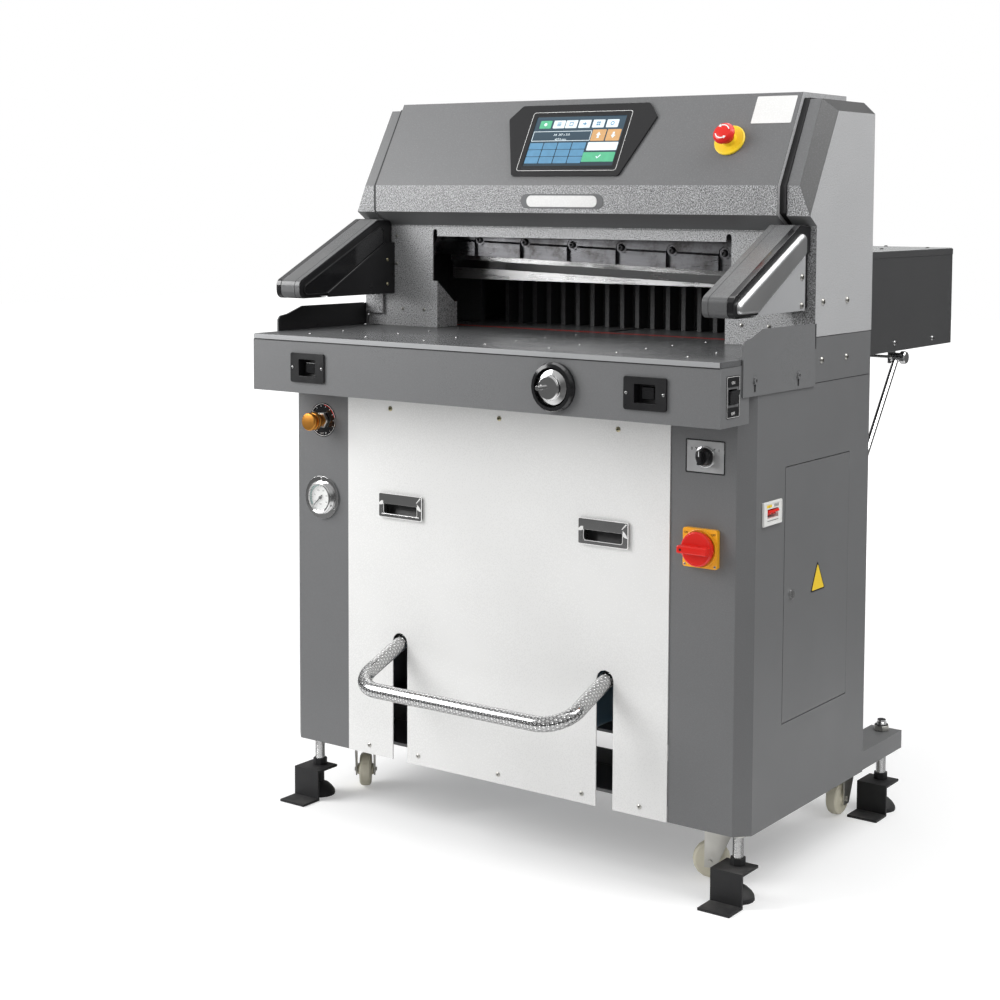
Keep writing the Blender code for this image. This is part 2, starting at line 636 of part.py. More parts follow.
def rounded(outline, radius, corners=None, steps=CORNER_STEPS):
    """The outline with an arc at each corner named, or at all of them."""
    made = []
    for i, spot in enumerate(outline):
        if corners is not None and i not in corners:
            made.append(spot)
            continue
        here = Vector(spot)
        back = Vector(outline[i - 1]) - here
        ahead = Vector(outline[(i + 1) % len(outline)]) - here
        half = back.angle(ahead) / 2
        reach = radius / math.tan(half)
        centre = here + (back.normalized() + ahead.normalized()).normalized() * (radius / math.sin(half))
        start = here + back.normalized() * reach - centre
        end = here + ahead.normalized() * reach - centre
        turn = start.angle_signed(end)
        for step in range(steps + 1):
            angle = -turn * step / steps
            swing = Matrix.Rotation(angle, 2)
            made.append(tuple(centre + swing @ start))
    return made


def rectangle(low_a, high_a, low_b, high_b):
    return [(low_a, low_b), (high_a, low_b), (high_a, high_b), (low_a, high_b)]


def mirrored(solid):
    """The same shape at the other side of the middle plane."""
    mesh = solid.data.copy()
    mesh.transform(Matrix.Diagonal((-1, 1, 1, 1)))
    mesh.flip_normals()
    made = new_solid(mesh)
    for old in solid.modifiers:
        copy_bevel(old, made)
    return made


def copy_bevel(old, made):
    bevel = made.modifiers.new("edge", 'BEVEL')
    bevel.width = old.width
    bevel.segments = old.segments
    bevel.limit_method = 'ANGLE'
    bevel.angle_limit = old.angle_limit


def both(solid):
    return [solid, mirrored(solid)]


def soften(solid, width, segments=2, angle_deg=None):
    bevel = solid.modifiers.new("edge", 'BEVEL')
    bevel.width = width
    bevel.segments = segments
    bevel.limit_method = 'ANGLE'
    bevel.angle_limit = math.radians(angle_deg or SHARP_DEG)
    return solid


def combine(target, tools, operation):
    for tool in tools:
        change = target.modifiers.new("shape", 'BOOLEAN')
        change.operation = operation
        change.solver = 'EXACT'
        change.use_hole_tolerant = True
        change.object = tool
    return target


def cut(target, *tools):
    return combine(target, tools, 'DIFFERENCE')


def fuse(target, *tools):
    return combine(target, tools, 'UNION')


def together(solids):
    """Solids that don't touch, as one mesh."""
    bm = bmesh.new()
    for solid in solids:
        mesh = frozen(solid)
        bm.from_mesh(mesh)
    merged = bpy.data.meshes.new("group")
    bm.to_mesh(merged)
    bm.free()
    return new_solid(merged)


def sliced(solid, spot, normal):
    """What lies behind a plane, with the cut closed."""
    bm = bmesh.new()
    bm.from_mesh(solid.data)
    everything = bm.verts[:] + bm.edges[:] + bm.faces[:]
    done = bmesh.ops.bisect_plane(
        bm, geom=everything, dist=MERGE, plane_co=spot, plane_no=normal, clear_outer=True,
    )
    rim = [item for item in done["geom_cut"] if isinstance(item, bmesh.types.BMEdge)]
    bmesh.ops.contextual_create(bm, geom=rim)
    bmesh.ops.recalc_face_normals(bm, faces=bm.faces)
    bm.to_mesh(solid.data)
    bm.free()
    return solid


MACHINE = bpy.data.objects.new("machine", None)
PARTS.objects.link(MACHINE)
REAR_REACH = BOX_Y[1]
FRONT_REACH = TREADLE_BAR_YZ[0] - TREADLE_RADIUS
MACHINE.location = (0, -(REAR_REACH + FRONT_REACH) / 2, 0)


def piece(name, solid, look, origin=(0, 0, 0)):
    """Names a finished solid, gives it its material and its origin."""
    CUTTERS.objects.unlink(solid)
    PARTS.objects.link(solid)
    solid.name = name
    solid.data.name = name
    solid.hide_render = False
    solid.display_type = 'TEXTURED'
    solid.data.transform(Matrix.Translation(-Vector(origin)))
    solid.location = origin
    solid.parent = MACHINE
    material = new_material(look)
    material.name = name + "_" + look
    solid.data.materials.clear()
    solid.data.materials.append(material)
    return solid


def on_slope(solid, x, z):
    """Moves a shape drawn about +Z onto the slope of the hood."""
    foot, head = Vector(HOOD_YZ[2]), Vector(HOOD_YZ[3])
    run = (head - foot).normalized()
    share = (z - foot.y) / (head.y - foot.y)
    spot = foot.lerp(head, share)
    turn = Matrix(((1, 0, 0), (0, run.x, -run.y), (0, run.y, run.x))).to_4x4()
    solid.data.transform(Matrix.Translation((x, spot.x, spot.y)) @ turn)
    return solid


def slope_rise(z, base_z):
    foot, head = Vector(HOOD_YZ[2]), Vector(HOOD_YZ[3])
    return (z - base_z) * (head - foot).length / (head.y - foot.y)


def build_cabinet():
    chamfer_x = HALF_WIDTH - COLUMN_CHAMFER
    inner = HALF_WIDTH - SHEET
    for side, name in ((-1, "column_cover_left"), (1, "column_cover_right")):
        fold = (
            (COLUMN_INNER_X, 0), (chamfer_x, 0), (HALF_WIDTH, COLUMN_CHAMFER),
            (HALF_WIDTH, CABINET_DEPTH), (inner, CABINET_DEPTH), (inner, COLUMN_CHAMFER + SHEET / 2),
            (chamfer_x - SHEET / 2, SHEET), (COLUMN_INNER_X, SHEET),
        )
        outline = [(side * x, y) for x, y in fold]
        cover = plate("Z", outline, FLOOR_GAP, COLUMN_REAR_TOP)
        step = box(
            (-HALF_WIDTH - CUT_OVER, -CUT_OVER, COLUMN_TOP),
            (HALF_WIDTH + CUT_OVER, COLUMN_STEP_Y, COLUMN_REAR_TOP + CUT_OVER),
        )
        cut(cover, step)
        if side > 0:
            door_hole = box(
                (inner - CUT_OVER, DOOR_Y[0], DOOR_Z[0]), (HALF_WIDTH + CUT_OVER, DOOR_Y[1], DOOR_Z[1]),
            )
            breaker_hole = box(
                (inner - CUT_OVER, BREAKER_Y[0] + SHEET, BREAKER_Z[0] + SHEET),
                (HALF_WIDTH + CUT_OVER, BREAKER_Y[1] - SHEET, BREAKER_Z[1] - SHEET),
            )
            cut(cover, door_hole, breaker_hole)
        piece(name, cover, "grey_coat")

    half = COLUMN_INNER_X - GAP
    slot = (PANEL_SLOT_OUT - PANEL_SLOT_IN) / 2
    holes = []
    for side in (-1, 1):
        middle = side * (PANEL_SLOT_OUT + PANEL_SLOT_IN) / 2
        low = FLOOR_GAP - CUT_OVER
        corner = rounded(rectangle(middle - slot, middle + slot, low, PANEL_SLOT_TOP),
            slot * ROUND_SHARE, (2, 3))
        holes.append(plate("Y", corner, -CUT_OVER, CUT_OVER))
        inner_x, outer_x = sorted((side * (HANDLE_IN + HANDLE_BODY_RIM),
            side * (HANDLE_OUT - HANDLE_BODY_RIM)))
        opening = rectangle(inner_x, outer_x, HANDLE_LOW + HANDLE_BODY_RIM, HANDLE_HIGH - HANDLE_BODY_RIM)
        holes.append(plate("Y", opening, -CUT_OVER, CUT_OVER))
    panel = box((-half, PANEL_FRONT_Y, FLOOR_GAP), (half, PANEL_FRONT_Y + PANEL_THICK, PANEL_TOP))
    piece("front_panel", cut(panel, *holes), "white_coat")

    for side, name in ((-1, "panel_handle_left"), (1, "panel_handle_right")):
        inner_x, outer_x = sorted((side * HANDLE_IN, side * HANDLE_OUT))
        front = PANEL_FRONT_Y - HANDLE_FLANGE
        flange = rectangle(inner_x, outer_x, HANDLE_LOW, HANDLE_HIGH)
        rim = plate("Y", rounded(flange, HANDLE_FLANGE), front, PANEL_FRONT_Y - GAP)
        edge = HANDLE_BODY_RIM + GAP
        body = box(
            (inner_x + edge, front + SHEET / 2, HANDLE_LOW + edge),
            (outer_x - edge, HANDLE_DEPTH, HANDLE_HIGH - edge),
        )
        rim_in = HANDLE_RIM
        well = box(
            (inner_x + rim_in, front - CUT_OVER, HANDLE_LOW + rim_in),
            (outer_x - rim_in, HANDLE_DEPTH - HANDLE_WALL, HANDLE_HIGH - rim_in - HANDLE_GRIP),
        )
        hollow = box(
            (inner_x + rim_in, front + HANDLE_FLANGE, HANDLE_LOW + rim_in),
            (outer_x - rim_in, HANDLE_DEPTH - HANDLE_WALL, HANDLE_HIGH - rim_in),
        )
        piece(name, cut(fuse(rim, body), well, hollow), "chrome")

    half = HALF_WIDTH - SHEET - GAP
    rear = box((-half, CABINET_DEPTH - PANEL_THICK, RAIL_TOP + GAP), (half, CABINET_DEPTH, REAR_PANEL_TOP))
    piece("rear_panel", rear, "grey_coat")


def build_base():
    rails = []
    for side in (-1, 1):
        low, high = sorted((side * RAIL_INNER_X, side * (HALF_WIDTH - SHEET - GAP)))
        rail = box((low, RAIL_START_Y, FLOOR_GAP), (high, RAIL_REAR_Y, RAIL_TOP))
        rails.append(rail)
    frame = rails[0]
    reach = RAIL_INNER_X + SHEET
    tools = [rails[1]]
    for y_low, y_high in (CROSS_FRONT, CROSS_REAR):
        tools.append(box((-reach, y_low, FLOOR_GAP + GAP), (reach, y_high, FLOOR_GAP + CROSS_THICK)))
        tools.append(box((-reach, y_high - CROSS_THICK, FLOOR_GAP + GAP * 2),
            (reach, y_high, RAIL_TOP - GAP)))
    fuse(frame, *tools)
    holes = []
    for side in (-1, 1):
        for x, y in FOOT_XY:
            holes.append(rod(FOOT_CLEAR, FLOOR_GAP - CUT_OVER, RAIL_TOP + CUT_OVER, "Z", (side * x, y, 0)))
    piece("base_frame", cut(frame, *holes), "dark_frame")

    sides = []
    for side in (-1, 1):
        low, high = sorted((side * FRAME_X[0], side * FRAME_X[1]))
        sides.append(box((low, FRAME_Y[0], RAIL_TOP + GAP), (high, FRAME_Y[1], FRAME_TOP)))
    frames = sides[0]
    tools = [sides[1]]
    pivot_y, pivot_z = TREADLE_PIVOT_YZ
    for side in (-1, 1):
        low, high = sorted((side * GUIDE_X[0], side * GUIDE_X[1]))
        tools.append(box((low, GUIDE_Y[0], GUIDE_Z[0]), (high, GUIDE_Y[1], GUIDE_Z[1] - GAP)))
        near, far = sorted((side * (TREADLE_SHAFT_HALF + GAP), side * FRAME_X[1]))
        tools.append(box(
            (near, pivot_y - TREADLE_HUB, pivot_z - TREADLE_HUB),
            (far, FRAME_Y[0] + SHEET, pivot_z + TREADLE_HUB),
        ))
    reach = FRAME_X[0] + SHEET
    tools.append(box((-reach, BED_Y[0], BED_Z[0]), (reach, BED_Y[1], BED_Z[1])))
    tools.append(box((-reach, CROWN_Y[0], CROWN_Z[0]), (reach, CROWN_Y[1], CROWN_Z[1])))
    tools.append(turned(CYLINDER_PROFILE, "Z", (*CYLINDER_XY, 0)))
    fuse(frames, *tools)
    bores = []
    for side in (-1, 1):
        centre = (side * CLAMP_ROD_X, CLAMP_ROD_Y, 0)
        bores.append(rod(CLAMP_ROD_CLEAR, CROWN_Z[0] - CUT_OVER, CROWN_Z[1] + CUT_OVER, "Z", centre))
    piece("side_frames", cut(frames, *bores), "dark_frame")


def build_table():
    outline = (
        (-TABLE_HALF, TABLE_FRONT_Y), (TABLE_HALF, TABLE_FRONT_Y), (TABLE_HALF, TABLE_WIDE_END_Y),
        (TABLE_NARROW_HALF, TABLE_WIDE_END_Y), (TABLE_NARROW_HALF, TABLE_REAR_Y),
        (-TABLE_NARROW_HALF, TABLE_REAR_Y), (-TABLE_NARROW_HALF, TABLE_WIDE_END_Y),
        (-TABLE_HALF, TABLE_WIDE_END_Y),
    )
    bottom = TABLE_TOP - TABLE_THICK
    piece("front_table", plate("Z", rounded(outline, TABLE_CORNER, (0, 1)), bottom, TABLE_TOP), "table_top")

    stick = box((-STICK_HALF, STICK_Y[0], TABLE_TOP - STICK_DEPTH), (STICK_HALF, STICK_Y[1], TABLE_TOP))
    piece("cutting_stick", stick, "stick_red")

    outline = rectangle(-REAR_TABLE_HALF, REAR_TABLE_HALF, *REAR_TABLE_Y)
    slot = rectangle(-SCREW_SLOT_HALF, SCREW_SLOT_HALF, *SCREW_SLOT_Y)
    piece("rear_table", plate("Z", outline, bottom, TABLE_TOP, (slot,)), "table_top")

    apron = box((-APRON_HALF, TABLE_FRONT_Y, APRON_Z[0]), (APRON_HALF, APRON_REAR_Y, APRON_Z[1]))
    inside = box(
        (-APRON_HALF + SHEET, TABLE_FRONT_Y + SHEET, APRON_Z[0] + SHEET),
        (APRON_HALF - SHEET, APRON_REAR_Y + CUT_OVER, APRON_Z[1] + CUT_OVER),
    )
    cuts = [inside]
    over = BEZEL_WALL + GAP
    for side in (-1, 1):
        low, high = sorted((side * (BUTTON_X[0] + over), side * (BUTTON_X[1] - over)))
        cuts.append(box(
            (low, TABLE_FRONT_Y - CUT_OVER, BUTTON_Z[0] + over),
            (high, TABLE_FRONT_Y + CUT_OVER, BUTTON_Z[1] - over),
        ))
    low, high = TABLE_FRONT_Y - CUT_OVER, TABLE_FRONT_Y + CUT_OVER
    cuts.append(rod(DIAL_HOLE, low, high, "Y", (DIAL_XZ[0], 0, DIAL_XZ[1]), FINE_STEPS))
    rim = ROCKER_RIM
    cuts.append(box(
        (APRON_HALF - CUT_OVER, ROCKER_Y[0] + rim, ROCKER_Z[0] + rim),
        (APRON_HALF + CUT_OVER, ROCKER_Y[1] - rim, ROCKER_Z[1] - rim),
    ))
    cut(apron, *cuts)
    low, high = APRON_HALF, APRON_HALF + BRACKET_THICK
    bracket = plate("X", BRACKET_YZ, low + GAP, high)
    heads = []
    for y, z in BRACKET_SCREWS_YZ:
        head = rod(BRACKET_SCREW_RADIUS, high - GAP * 3, high + BRACKET_SCREW_HIGH, "X",
            (0, y, z), ROUND_STEPS // 2)
        socket = rod(BRACKET_SOCKET, high + GAP * 2, high + CUT_OVER, "X", (0, y, z), SOCKET_STEPS)
        heads.append(new_solid(frozen(cut(head, socket))))
    tab = box((low - SHEET / 2, *BRACKET_TAB[0]), (low + SHEET / 2, *BRACKET_TAB[1]))
    right = new_solid(frozen(fuse(bracket, tab, *heads)))
    fuse(apron, *both(right))
    piece("table_apron", apron, "grey_coat")


def build_face():
    half, cheek = WINDOW_HALF, CHEEK_X
    ear = WINDOW_EAR_WIDE
    low = TABLE_TOP + GAP
    right = [
        (cheek, low - CUT_OVER), (cheek, CHEEK_TOP), (half, CHEEK_TOP), (half, WINDOW_EAR_TOP),
        (half - ear, WINDOW_EAR_TOP), (half - ear, WINDOW_TOP),
    ]
    left = [(-x, z) for x, z in reversed(right)]
    window = rounded(right + left, ear / 2 * ROUND_SHARE, (3, 4, 7, 8))
    face = box((-FACE_HALF, FACE_Y, low), (FACE_HALF, FACE_Y + SHEET, FACE_TOP))
    cut(face, plate("Y", window, FACE_Y - CUT_OVER, FACE_Y + SHEET + CUT_OVER))
    walls = []
    for side in (-1, 1):
        near, far = sorted((side * (cheek + GAP), side * (cheek + SHEET)))
        walls.append(plate("X", CHEEK_YZ, near, far))
    reach = half - ear - GAP
    walls.append(box(
        (-reach, FACE_Y + SHEET / 2, WINDOW_TOP + GAP), (reach, LIP_REACH, WINDOW_TOP + LIP_THICK),
    ))
    piece("body_face", fuse(face, *walls), "grey_coat")


def inset(outline, distance):
    """The outline moved inward, for an outline that runs anticlockwise."""
    made = []
    for i, spot in enumerate(outline):
        here = Vector(spot)
        back = (here - Vector(outline[i - 1])).normalized()
        ahead = (Vector(outline[(i + 1) % len(outline)]) - here).normalized()
        side_a, side_b = Vector((-back.y, back.x)), Vector((-ahead.y, ahead.x))
        push = (side_a + side_b) / (1 + side_a.dot(side_b))
        made.append(tuple(here + push * distance))
    return made


def anticlockwise(outline):
    area = sum(a[0] * b[1] - b[0] * a[1] for a, b in zip(outline, list(outline[1:]) + [outline[0]]))
    return list(outline) if area > 0 else list(reversed(outline))


def build_hood():
    half = HOOD_HALF
    outer = anticlockwise(HOOD_YZ[:-1] + ((HOOD_YZ[0][0], HOOD_YZ[-1][1]),))
    shell = plate("X", outer, -half, half)
    hollow = inset(outer, HOOD_SHEET)
    inside = plate("X", hollow, -half + HOOD_SHEET, half - HOOD_SHEET)
    under = box(
        (-half - CUT_OVER, HOOD_YZ[0][0] + GAP, HOOD_YZ[-1][1] - CUT_OVER),
        (half + CUT_OVER, CABINET_DEPTH - HOOD_SHEET, FACE_TOP + GAP),
    )
    nose = box(
        (-half - CUT_OVER, HOOD_YZ[1][0] - CUT_OVER, HOOD_YZ[-1][1] - CUT_OVER),
        (half + CUT_OVER, HOOD_YZ[0][0] + CUT_OVER, FACE_TOP + GAP),
    )
    ends = box(
        (-half - CUT_OVER, HOOD_END_Y, HOOD_YZ[-1][1] - CUT_OVER),
        (half + CUT_OVER, CABINET_DEPTH - HOOD_SHEET, HOOD_END_Z),
    )
    piece("hood_cover", cut(shell, inside, under, nose, ends), "grey_coat")

    edge_low, edge_high = CAP_SIDE_EDGE_YZ
    knee = Vector((HALF_WIDTH, *edge_low))
    head = Vector((HALF_WIDTH, *edge_high))
    slope_top = Vector((CAP_EDGE_X, *CAP_YZ[4]))
    front_normal = (head - knee).cross(slope_top - knee).normalized()
    if front_normal.y > 0:
        front_normal = -front_normal
    rear_run = Vector((0, UNIT, 0))
    top_normal = rear_run.cross(slope_top - head).normalized()
    if top_normal.z < 0:
        top_normal = -top_normal
    outer = anticlockwise(CAP_YZ)
    solid = plate("X", outer, CAP_INNER_X, HALF_WIDTH)
    sliced(solid, knee, front_normal)
    sliced(solid, head, top_normal)
    inner = plate("X", inset(outer, SHEET), CAP_INNER_X - CUT_OVER, HALF_WIDTH - SHEET)
    sliced(inner, knee - front_normal * SHEET, front_normal)
    sliced(inner, head - top_normal * SHEET, top_normal)
    front_gate = box(
        (CAP_INNER_X - CUT_OVER, CAP_YZ[0][0] - CUT_OVER, CAP_YZ[0][1] - CUT_OVER),
        (HALF_WIDTH - SHEET, CABINET_DEPTH + CUT_OVER, CAP_YZ[0][1] + SHEET + GAP),
    )
    right = new_solid(frozen(cut(solid, inner, front_gate)))
    left = mirrored(right)
    piece("end_cover_right", right, "grey_coat")
    piece("end_cover_left", left, "grey_coat")

    base_z = HOOD_YZ[2][1]
    outline = [(x, slope_rise(z, base_z)) for x, z in SCREEN_BEZEL_XZ]
    outline = rounded(anticlockwise(outline), SCREEN_BEZEL_ROUND)
    low, high = slope_rise(SCREEN_Z[0], base_z), slope_rise(SCREEN_Z[1], base_z)
    seat = GAP * 2
    opening = rectangle(-SCREEN_HALF - GAP, SCREEN_HALF + GAP, low - GAP, high + GAP)
    bezel = plate("Z", outline, seat, SCREEN_BEZEL_THICK, (opening,))
    piece("screen_bezel", on_slope(bezel, 0, base_z), "black_gloss")
    screen = plate("Z", rectangle(-SCREEN_HALF, SCREEN_HALF, low, high), seat, SCREEN_THICK)
    piece("touch_screen", on_slope(screen, 0, base_z), "screen_glass")

    x, z = ESTOP_XZ
    base = turned([(r, h + seat) for r, h in ESTOP_BASE], steps=FINE_STEPS)
    collar = turned([(r, h) for r, h in ESTOP_COLLAR], closed=True)
    piece("estop_base", on_slope(fuse_now(base, collar), x, z), "yellow")
    head = turned([(r, h + GAP * 2) for r, h in ESTOP_HEAD], steps=FINE_STEPS)
    on_slope(head, x, z)
    piece("estop_button", head, "red", slope_spot(x, z))


def slope_spot(x, z):
    foot, head = Vector(HOOD_YZ[2]), Vector(HOOD_YZ[3])
    spot = foot.lerp(head, (z - foot.y) / (head.y - foot.y))
    return (x, spot.x, spot.y)


def fuse_now(target, *tools):
    return smooth(new_solid(frozen(fuse(target, *tools))))


def build_guards():
    low, high = GUARD_X
    arm = plate("X", rounded(GUARD_YZ, GUARD_ROUND, (0, 1, 2, 10)), low, high)
    wall = plate("X", GUARD_PLATE_YZ, *GUARD_PLATE_X)
    post = box(
        (GUARD_POST_X[0], GUARD_POST_Y[0], GUARD_POST_Z[0]), (GUARD_POST_X[1], GUARD_POST_Y[1],
        GUARD_POST_Z[1]),
    )
    right = fuse_now(arm, wall, post)
    left = mirrored(right)
    piece("guard_arm_right", right, "dark_frame")
    piece("guard_arm_left", left, "dark_frame")


def build_apron_controls():
    for side, name in ((-1, "button_bezel_left"), (1, "button_bezel_right")):
        low, high = sorted((side * BUTTON_X[0], side * BUTTON_X[1]))
        front = TABLE_FRONT_Y - BEZEL_PROUD
        flange = rectangle(low, high, *BUTTON_Z)
        rim = plate("Y", rounded(flange, BEZEL_PROUD), front, TABLE_FRONT_Y - GAP)
        wall = BEZEL_WALL + GAP * 2
        body = box(
            (low + wall, front + GAP, BUTTON_Z[0] + wall),
            (high - wall, TABLE_FRONT_Y + BEZEL_DEPTH, BUTTON_Z[1] - wall),
        )
        middle_x, middle_z = (low + high) / 2, sum(BUTTON_Z) / 2
        wide, tall = BEZEL_MOUTH
        well = box(
            (middle_x - wide / 2, front - CUT_OVER, middle_z - tall / 2),
            (middle_x + wide / 2, BEZEL_FLOOR_Y, middle_z + tall / 2),
        )
        wide, tall = KEY_SIZE
        shaft = box(
            (middle_x - wide / 2 - GAP, BEZEL_FLOOR_Y - CUT_OVER, middle_z - tall / 2 - GAP),
            (middle_x + wide / 2 + GAP, KEY_BACK_Y + KEY_TRAVEL + GAP, middle_z + tall / 2 + GAP),
        )
        piece(name, cut(fuse(rim, body), well, shaft), "black_plastic")
    for side, name in ((-1, "cut_button_left"), (1, "cut_button_right")):
        middle_x, middle_z = side * sum(BUTTON_X) / 2, sum(BUTTON_Z) / 2
        wide, tall = KEY_SIZE
        key = box(
            (middle_x - wide / 2, KEY_FRONT_Y, middle_z - tall / 2),
            (middle_x + wide / 2, KEY_BACK_Y, middle_z + tall / 2),
        )
        soften(key, KEY_ROUND)
        piece(name, key, "black_gloss", (middle_x, KEY_FRONT_Y, middle_z))

    x, z = DIAL_XZ
    bowl = turned(DIAL_PROFILE, "Y", (x, 0, z), FINE_STEPS)
    piece("dial_bowl", bowl, "black_gloss")
    wheel = turned(WHEEL_PROFILE, "Y", (x, 0, z), FINE_STEPS)
    pin_x, radius, front = WHEEL_PIN
    pin = rod(radius, front, WHEEL_PROFILE[1][1] + radius, "Y", (x - pin_x, 0, z))
    piece("dial_wheel", fuse_now(wheel, pin), "chrome", (x, WHEEL_PROFILE[-1][1], z))

    side = ROCKER_RIM
    middle_z = sum(ROCKER_Z) / 2
    low, high = ROCKER_Z[0] + side + ROCKER_PLAY, ROCKER_Z[1] - side - ROCKER_PLAY
    outline = (
        (ROCKER_PIVOT_X - ROCKER_BACK, middle_z - ROCKER_LOW), (APRON_HALF + ROCKER_LOW, low),
        (APRON_HALF + ROCKER_LOW, middle_z), (APRON_HALF + ROCKER_PROUD, high),
        (ROCKER_PIVOT_X - ROCKER_BACK, middle_z + ROCKER_LOW),
    )
    flat = plate("Y", outline, ROCKER_Y[0] + side + GAP, ROCKER_Y[1] - side - GAP)
    piece("rocker", flat, "black_gloss", (ROCKER_PIVOT_X, sum(ROCKER_Y) / 2, middle_z))


def build_column_controls():
    x, z = GAUGE_XZ
    piece("gauge_case", turned(GAUGE_PROFILE, "Y", (x, 0, z), FINE_STEPS), "chrome")
    hand = plate("Y", [(x + across, z + up) for across, up in NEEDLE_XZ], *NEEDLE_Y)
    hub = rod(NEEDLE_HUB, NEEDLE_Y[0] - GAP, NEEDLE_HUB_BACK, "Y", (x, 0, z), FINE_STEPS // 4)
    needle = fuse_now(hand, hub)
    spot = Vector((x, 0, z))
    turn = Matrix.Rotation(math.radians(NEEDLE_REST_DEG), 4, 'Y')
    needle.data.transform(Matrix.Translation(spot) @ turn @ Matrix.Translation(-spot))
    piece("gauge_needle", needle, "black_plastic", (x, NEEDLE_HUB_BACK, z))

    x, z = PRESSURE_XZ
    knob = turned(PRESSURE_PROFILE, "Y", (x, 0, z), FINE_STEPS)
    piece("pressure_knob", knob, "orange_anodised", (x, PRESSURE_PROFILE[-1][1], z))

    x, z = SELECTOR_XZ
    knob = turned(SELECTOR_PROFILE, "Y", (x, 0, z))
    (half_wide, half_long), (front, back) = SELECTOR_GRIP
    grip = box((x - half_wide, front, z - half_long), (x + half_wide, back, z + half_long))
    piece("selector_knob", fuse_now(knob, grip), "black_plastic", (x, SELECTOR_PROFILE[-1][1], z))

    x, z = sum(SWITCH_X) / 2, sum(SWITCH_Z) / 2
    backing = plate("Y", rounded(rectangle(*SWITCH_X, *SWITCH_Z), SWITCH_ROUND), -SWITCH_THICK, -GAP)
    piece("main_switch_plate", backing, "yellow")
    handle = turned(SWITCH_PROFILE, "Y", (x, 0, z), FINE_STEPS)
    (half_tall, half_wide), (front, back) = SWITCH_GRIP
    grip = box((x - half_wide, front, z - half_tall), (x + half_wide, back, z + half_tall))
    soften(grip, SWITCH_GRIP_ROUND)
    piece("main_switch_handle", fuse_now(handle, grip), "red", (x, SWITCH_PROFILE[-1][1], z))


def build_side_fittings():
    inner = HALF_WIDTH - SHEET
    door = box(
        (HALF_WIDTH - DOOR_BACK + GAP, DOOR_Y[0] + DOOR_GAP, DOOR_Z[0] + DOOR_GAP),
        (HALF_WIDTH, DOOR_Y[1] - GAP, DOOR_Z[1] - DOOR_GAP),
    )
    y, z = LOCK_YZ
    bore = rod(LOCK_BARREL + GAP, inner - CUT_OVER, HALF_WIDTH + CUT_OVER, "X", (0, y, z))
    hinge = (HALF_WIDTH, DOOR_Y[1], sum(DOOR_Z) / 2)
    piece("cabinet_door", cut(door, bore), "grey_coat", hinge)
    face = rod(LOCK_RADIUS, HALF_WIDTH + GAP, HALF_WIDTH + LOCK_FACE, "X", (0, y, z))
    barrel = rod(LOCK_BARREL, HALF_WIDTH - LOCK_DEPTH, HALF_WIDTH + GAP * 2, "X", (0, y, z))
    long, half, thick = LOCK_TONGUE
    base = HALF_WIDTH - LOCK_DEPTH
    tongue = box((base + GAP, y - half, z - long), (base + thick, y + half, z))
    slot = box(
        (HALF_WIDTH + LOCK_FACE - LOCK_KEY_DEPTH, y - LOCK_KEY_HALF, z - LOCK_KEY_LONG),
        (HALF_WIDTH + CUT_OVER, y + LOCK_KEY_HALF, z + LOCK_KEY_LONG),
    )
    lock = cut(fuse(face, barrel, tongue), slot)
    piece("door_lock", smooth(new_solid(frozen(lock))), "chrome", (HALF_WIDTH, y, z))

    face = HALF_WIDTH + GAP
    rim = box((face, BREAKER_Y[0], BREAKER_Z[0]), (face + BREAKER_FACE, BREAKER_Y[1], BREAKER_Z[1]))
    edge = SHEET + GAP
    body = box(
        (HALF_WIDTH - BREAKER_DEPTH, BREAKER_Y[0] + edge, BREAKER_Z[0] + edge),
        (face + GAP, BREAKER_Y[1] - edge, BREAKER_Z[1] - edge),
    )
    slot = box(
        (BREAKER_PIVOT_X - BREAKER_SLOT_DEPTH, BREAKER_SLOT_Y[0], BREAKER_SLOT_Z[0]),
        (face + CUT_OVER, BREAKER_SLOT_Y[1], BREAKER_SLOT_Z[1]),
    )
    piece("breaker_body", cut(fuse(rim, body), slot), "white_plastic")
    middle_y, middle_z = sum(TOGGLE_Y) / 2, sum(BREAKER_SLOT_Z) / 2
    hub = rod(TOGGLE_HUB, *TOGGLE_Y, "Y", (BREAKER_PIVOT_X, 0, middle_z))
    lever = box(
        (BREAKER_PIVOT_X, TOGGLE_Y[0] + GAP, middle_z - TOGGLE_THICK),
        (BREAKER_PIVOT_X + TOGGLE_REACH, TOGGLE_Y[1] - GAP, middle_z + TOGGLE_THICK),
    )
    spot = Vector((BREAKER_PIVOT_X, middle_y, middle_z))
    tilt = Matrix.Rotation(math.radians(-TOGGLE_TILT_DEG), 4, 'Y')
    lever.data.transform(Matrix.Translation(spot) @ tilt @ Matrix.Translation(-spot))
    piece("breaker_toggle", fuse_now(hub, lever), "red", spot)


def shear(solid):
    for vertex in solid.data.vertices:
        vertex.co.z += EDGE_FALL_SHARE * vertex.co.x
    return solid


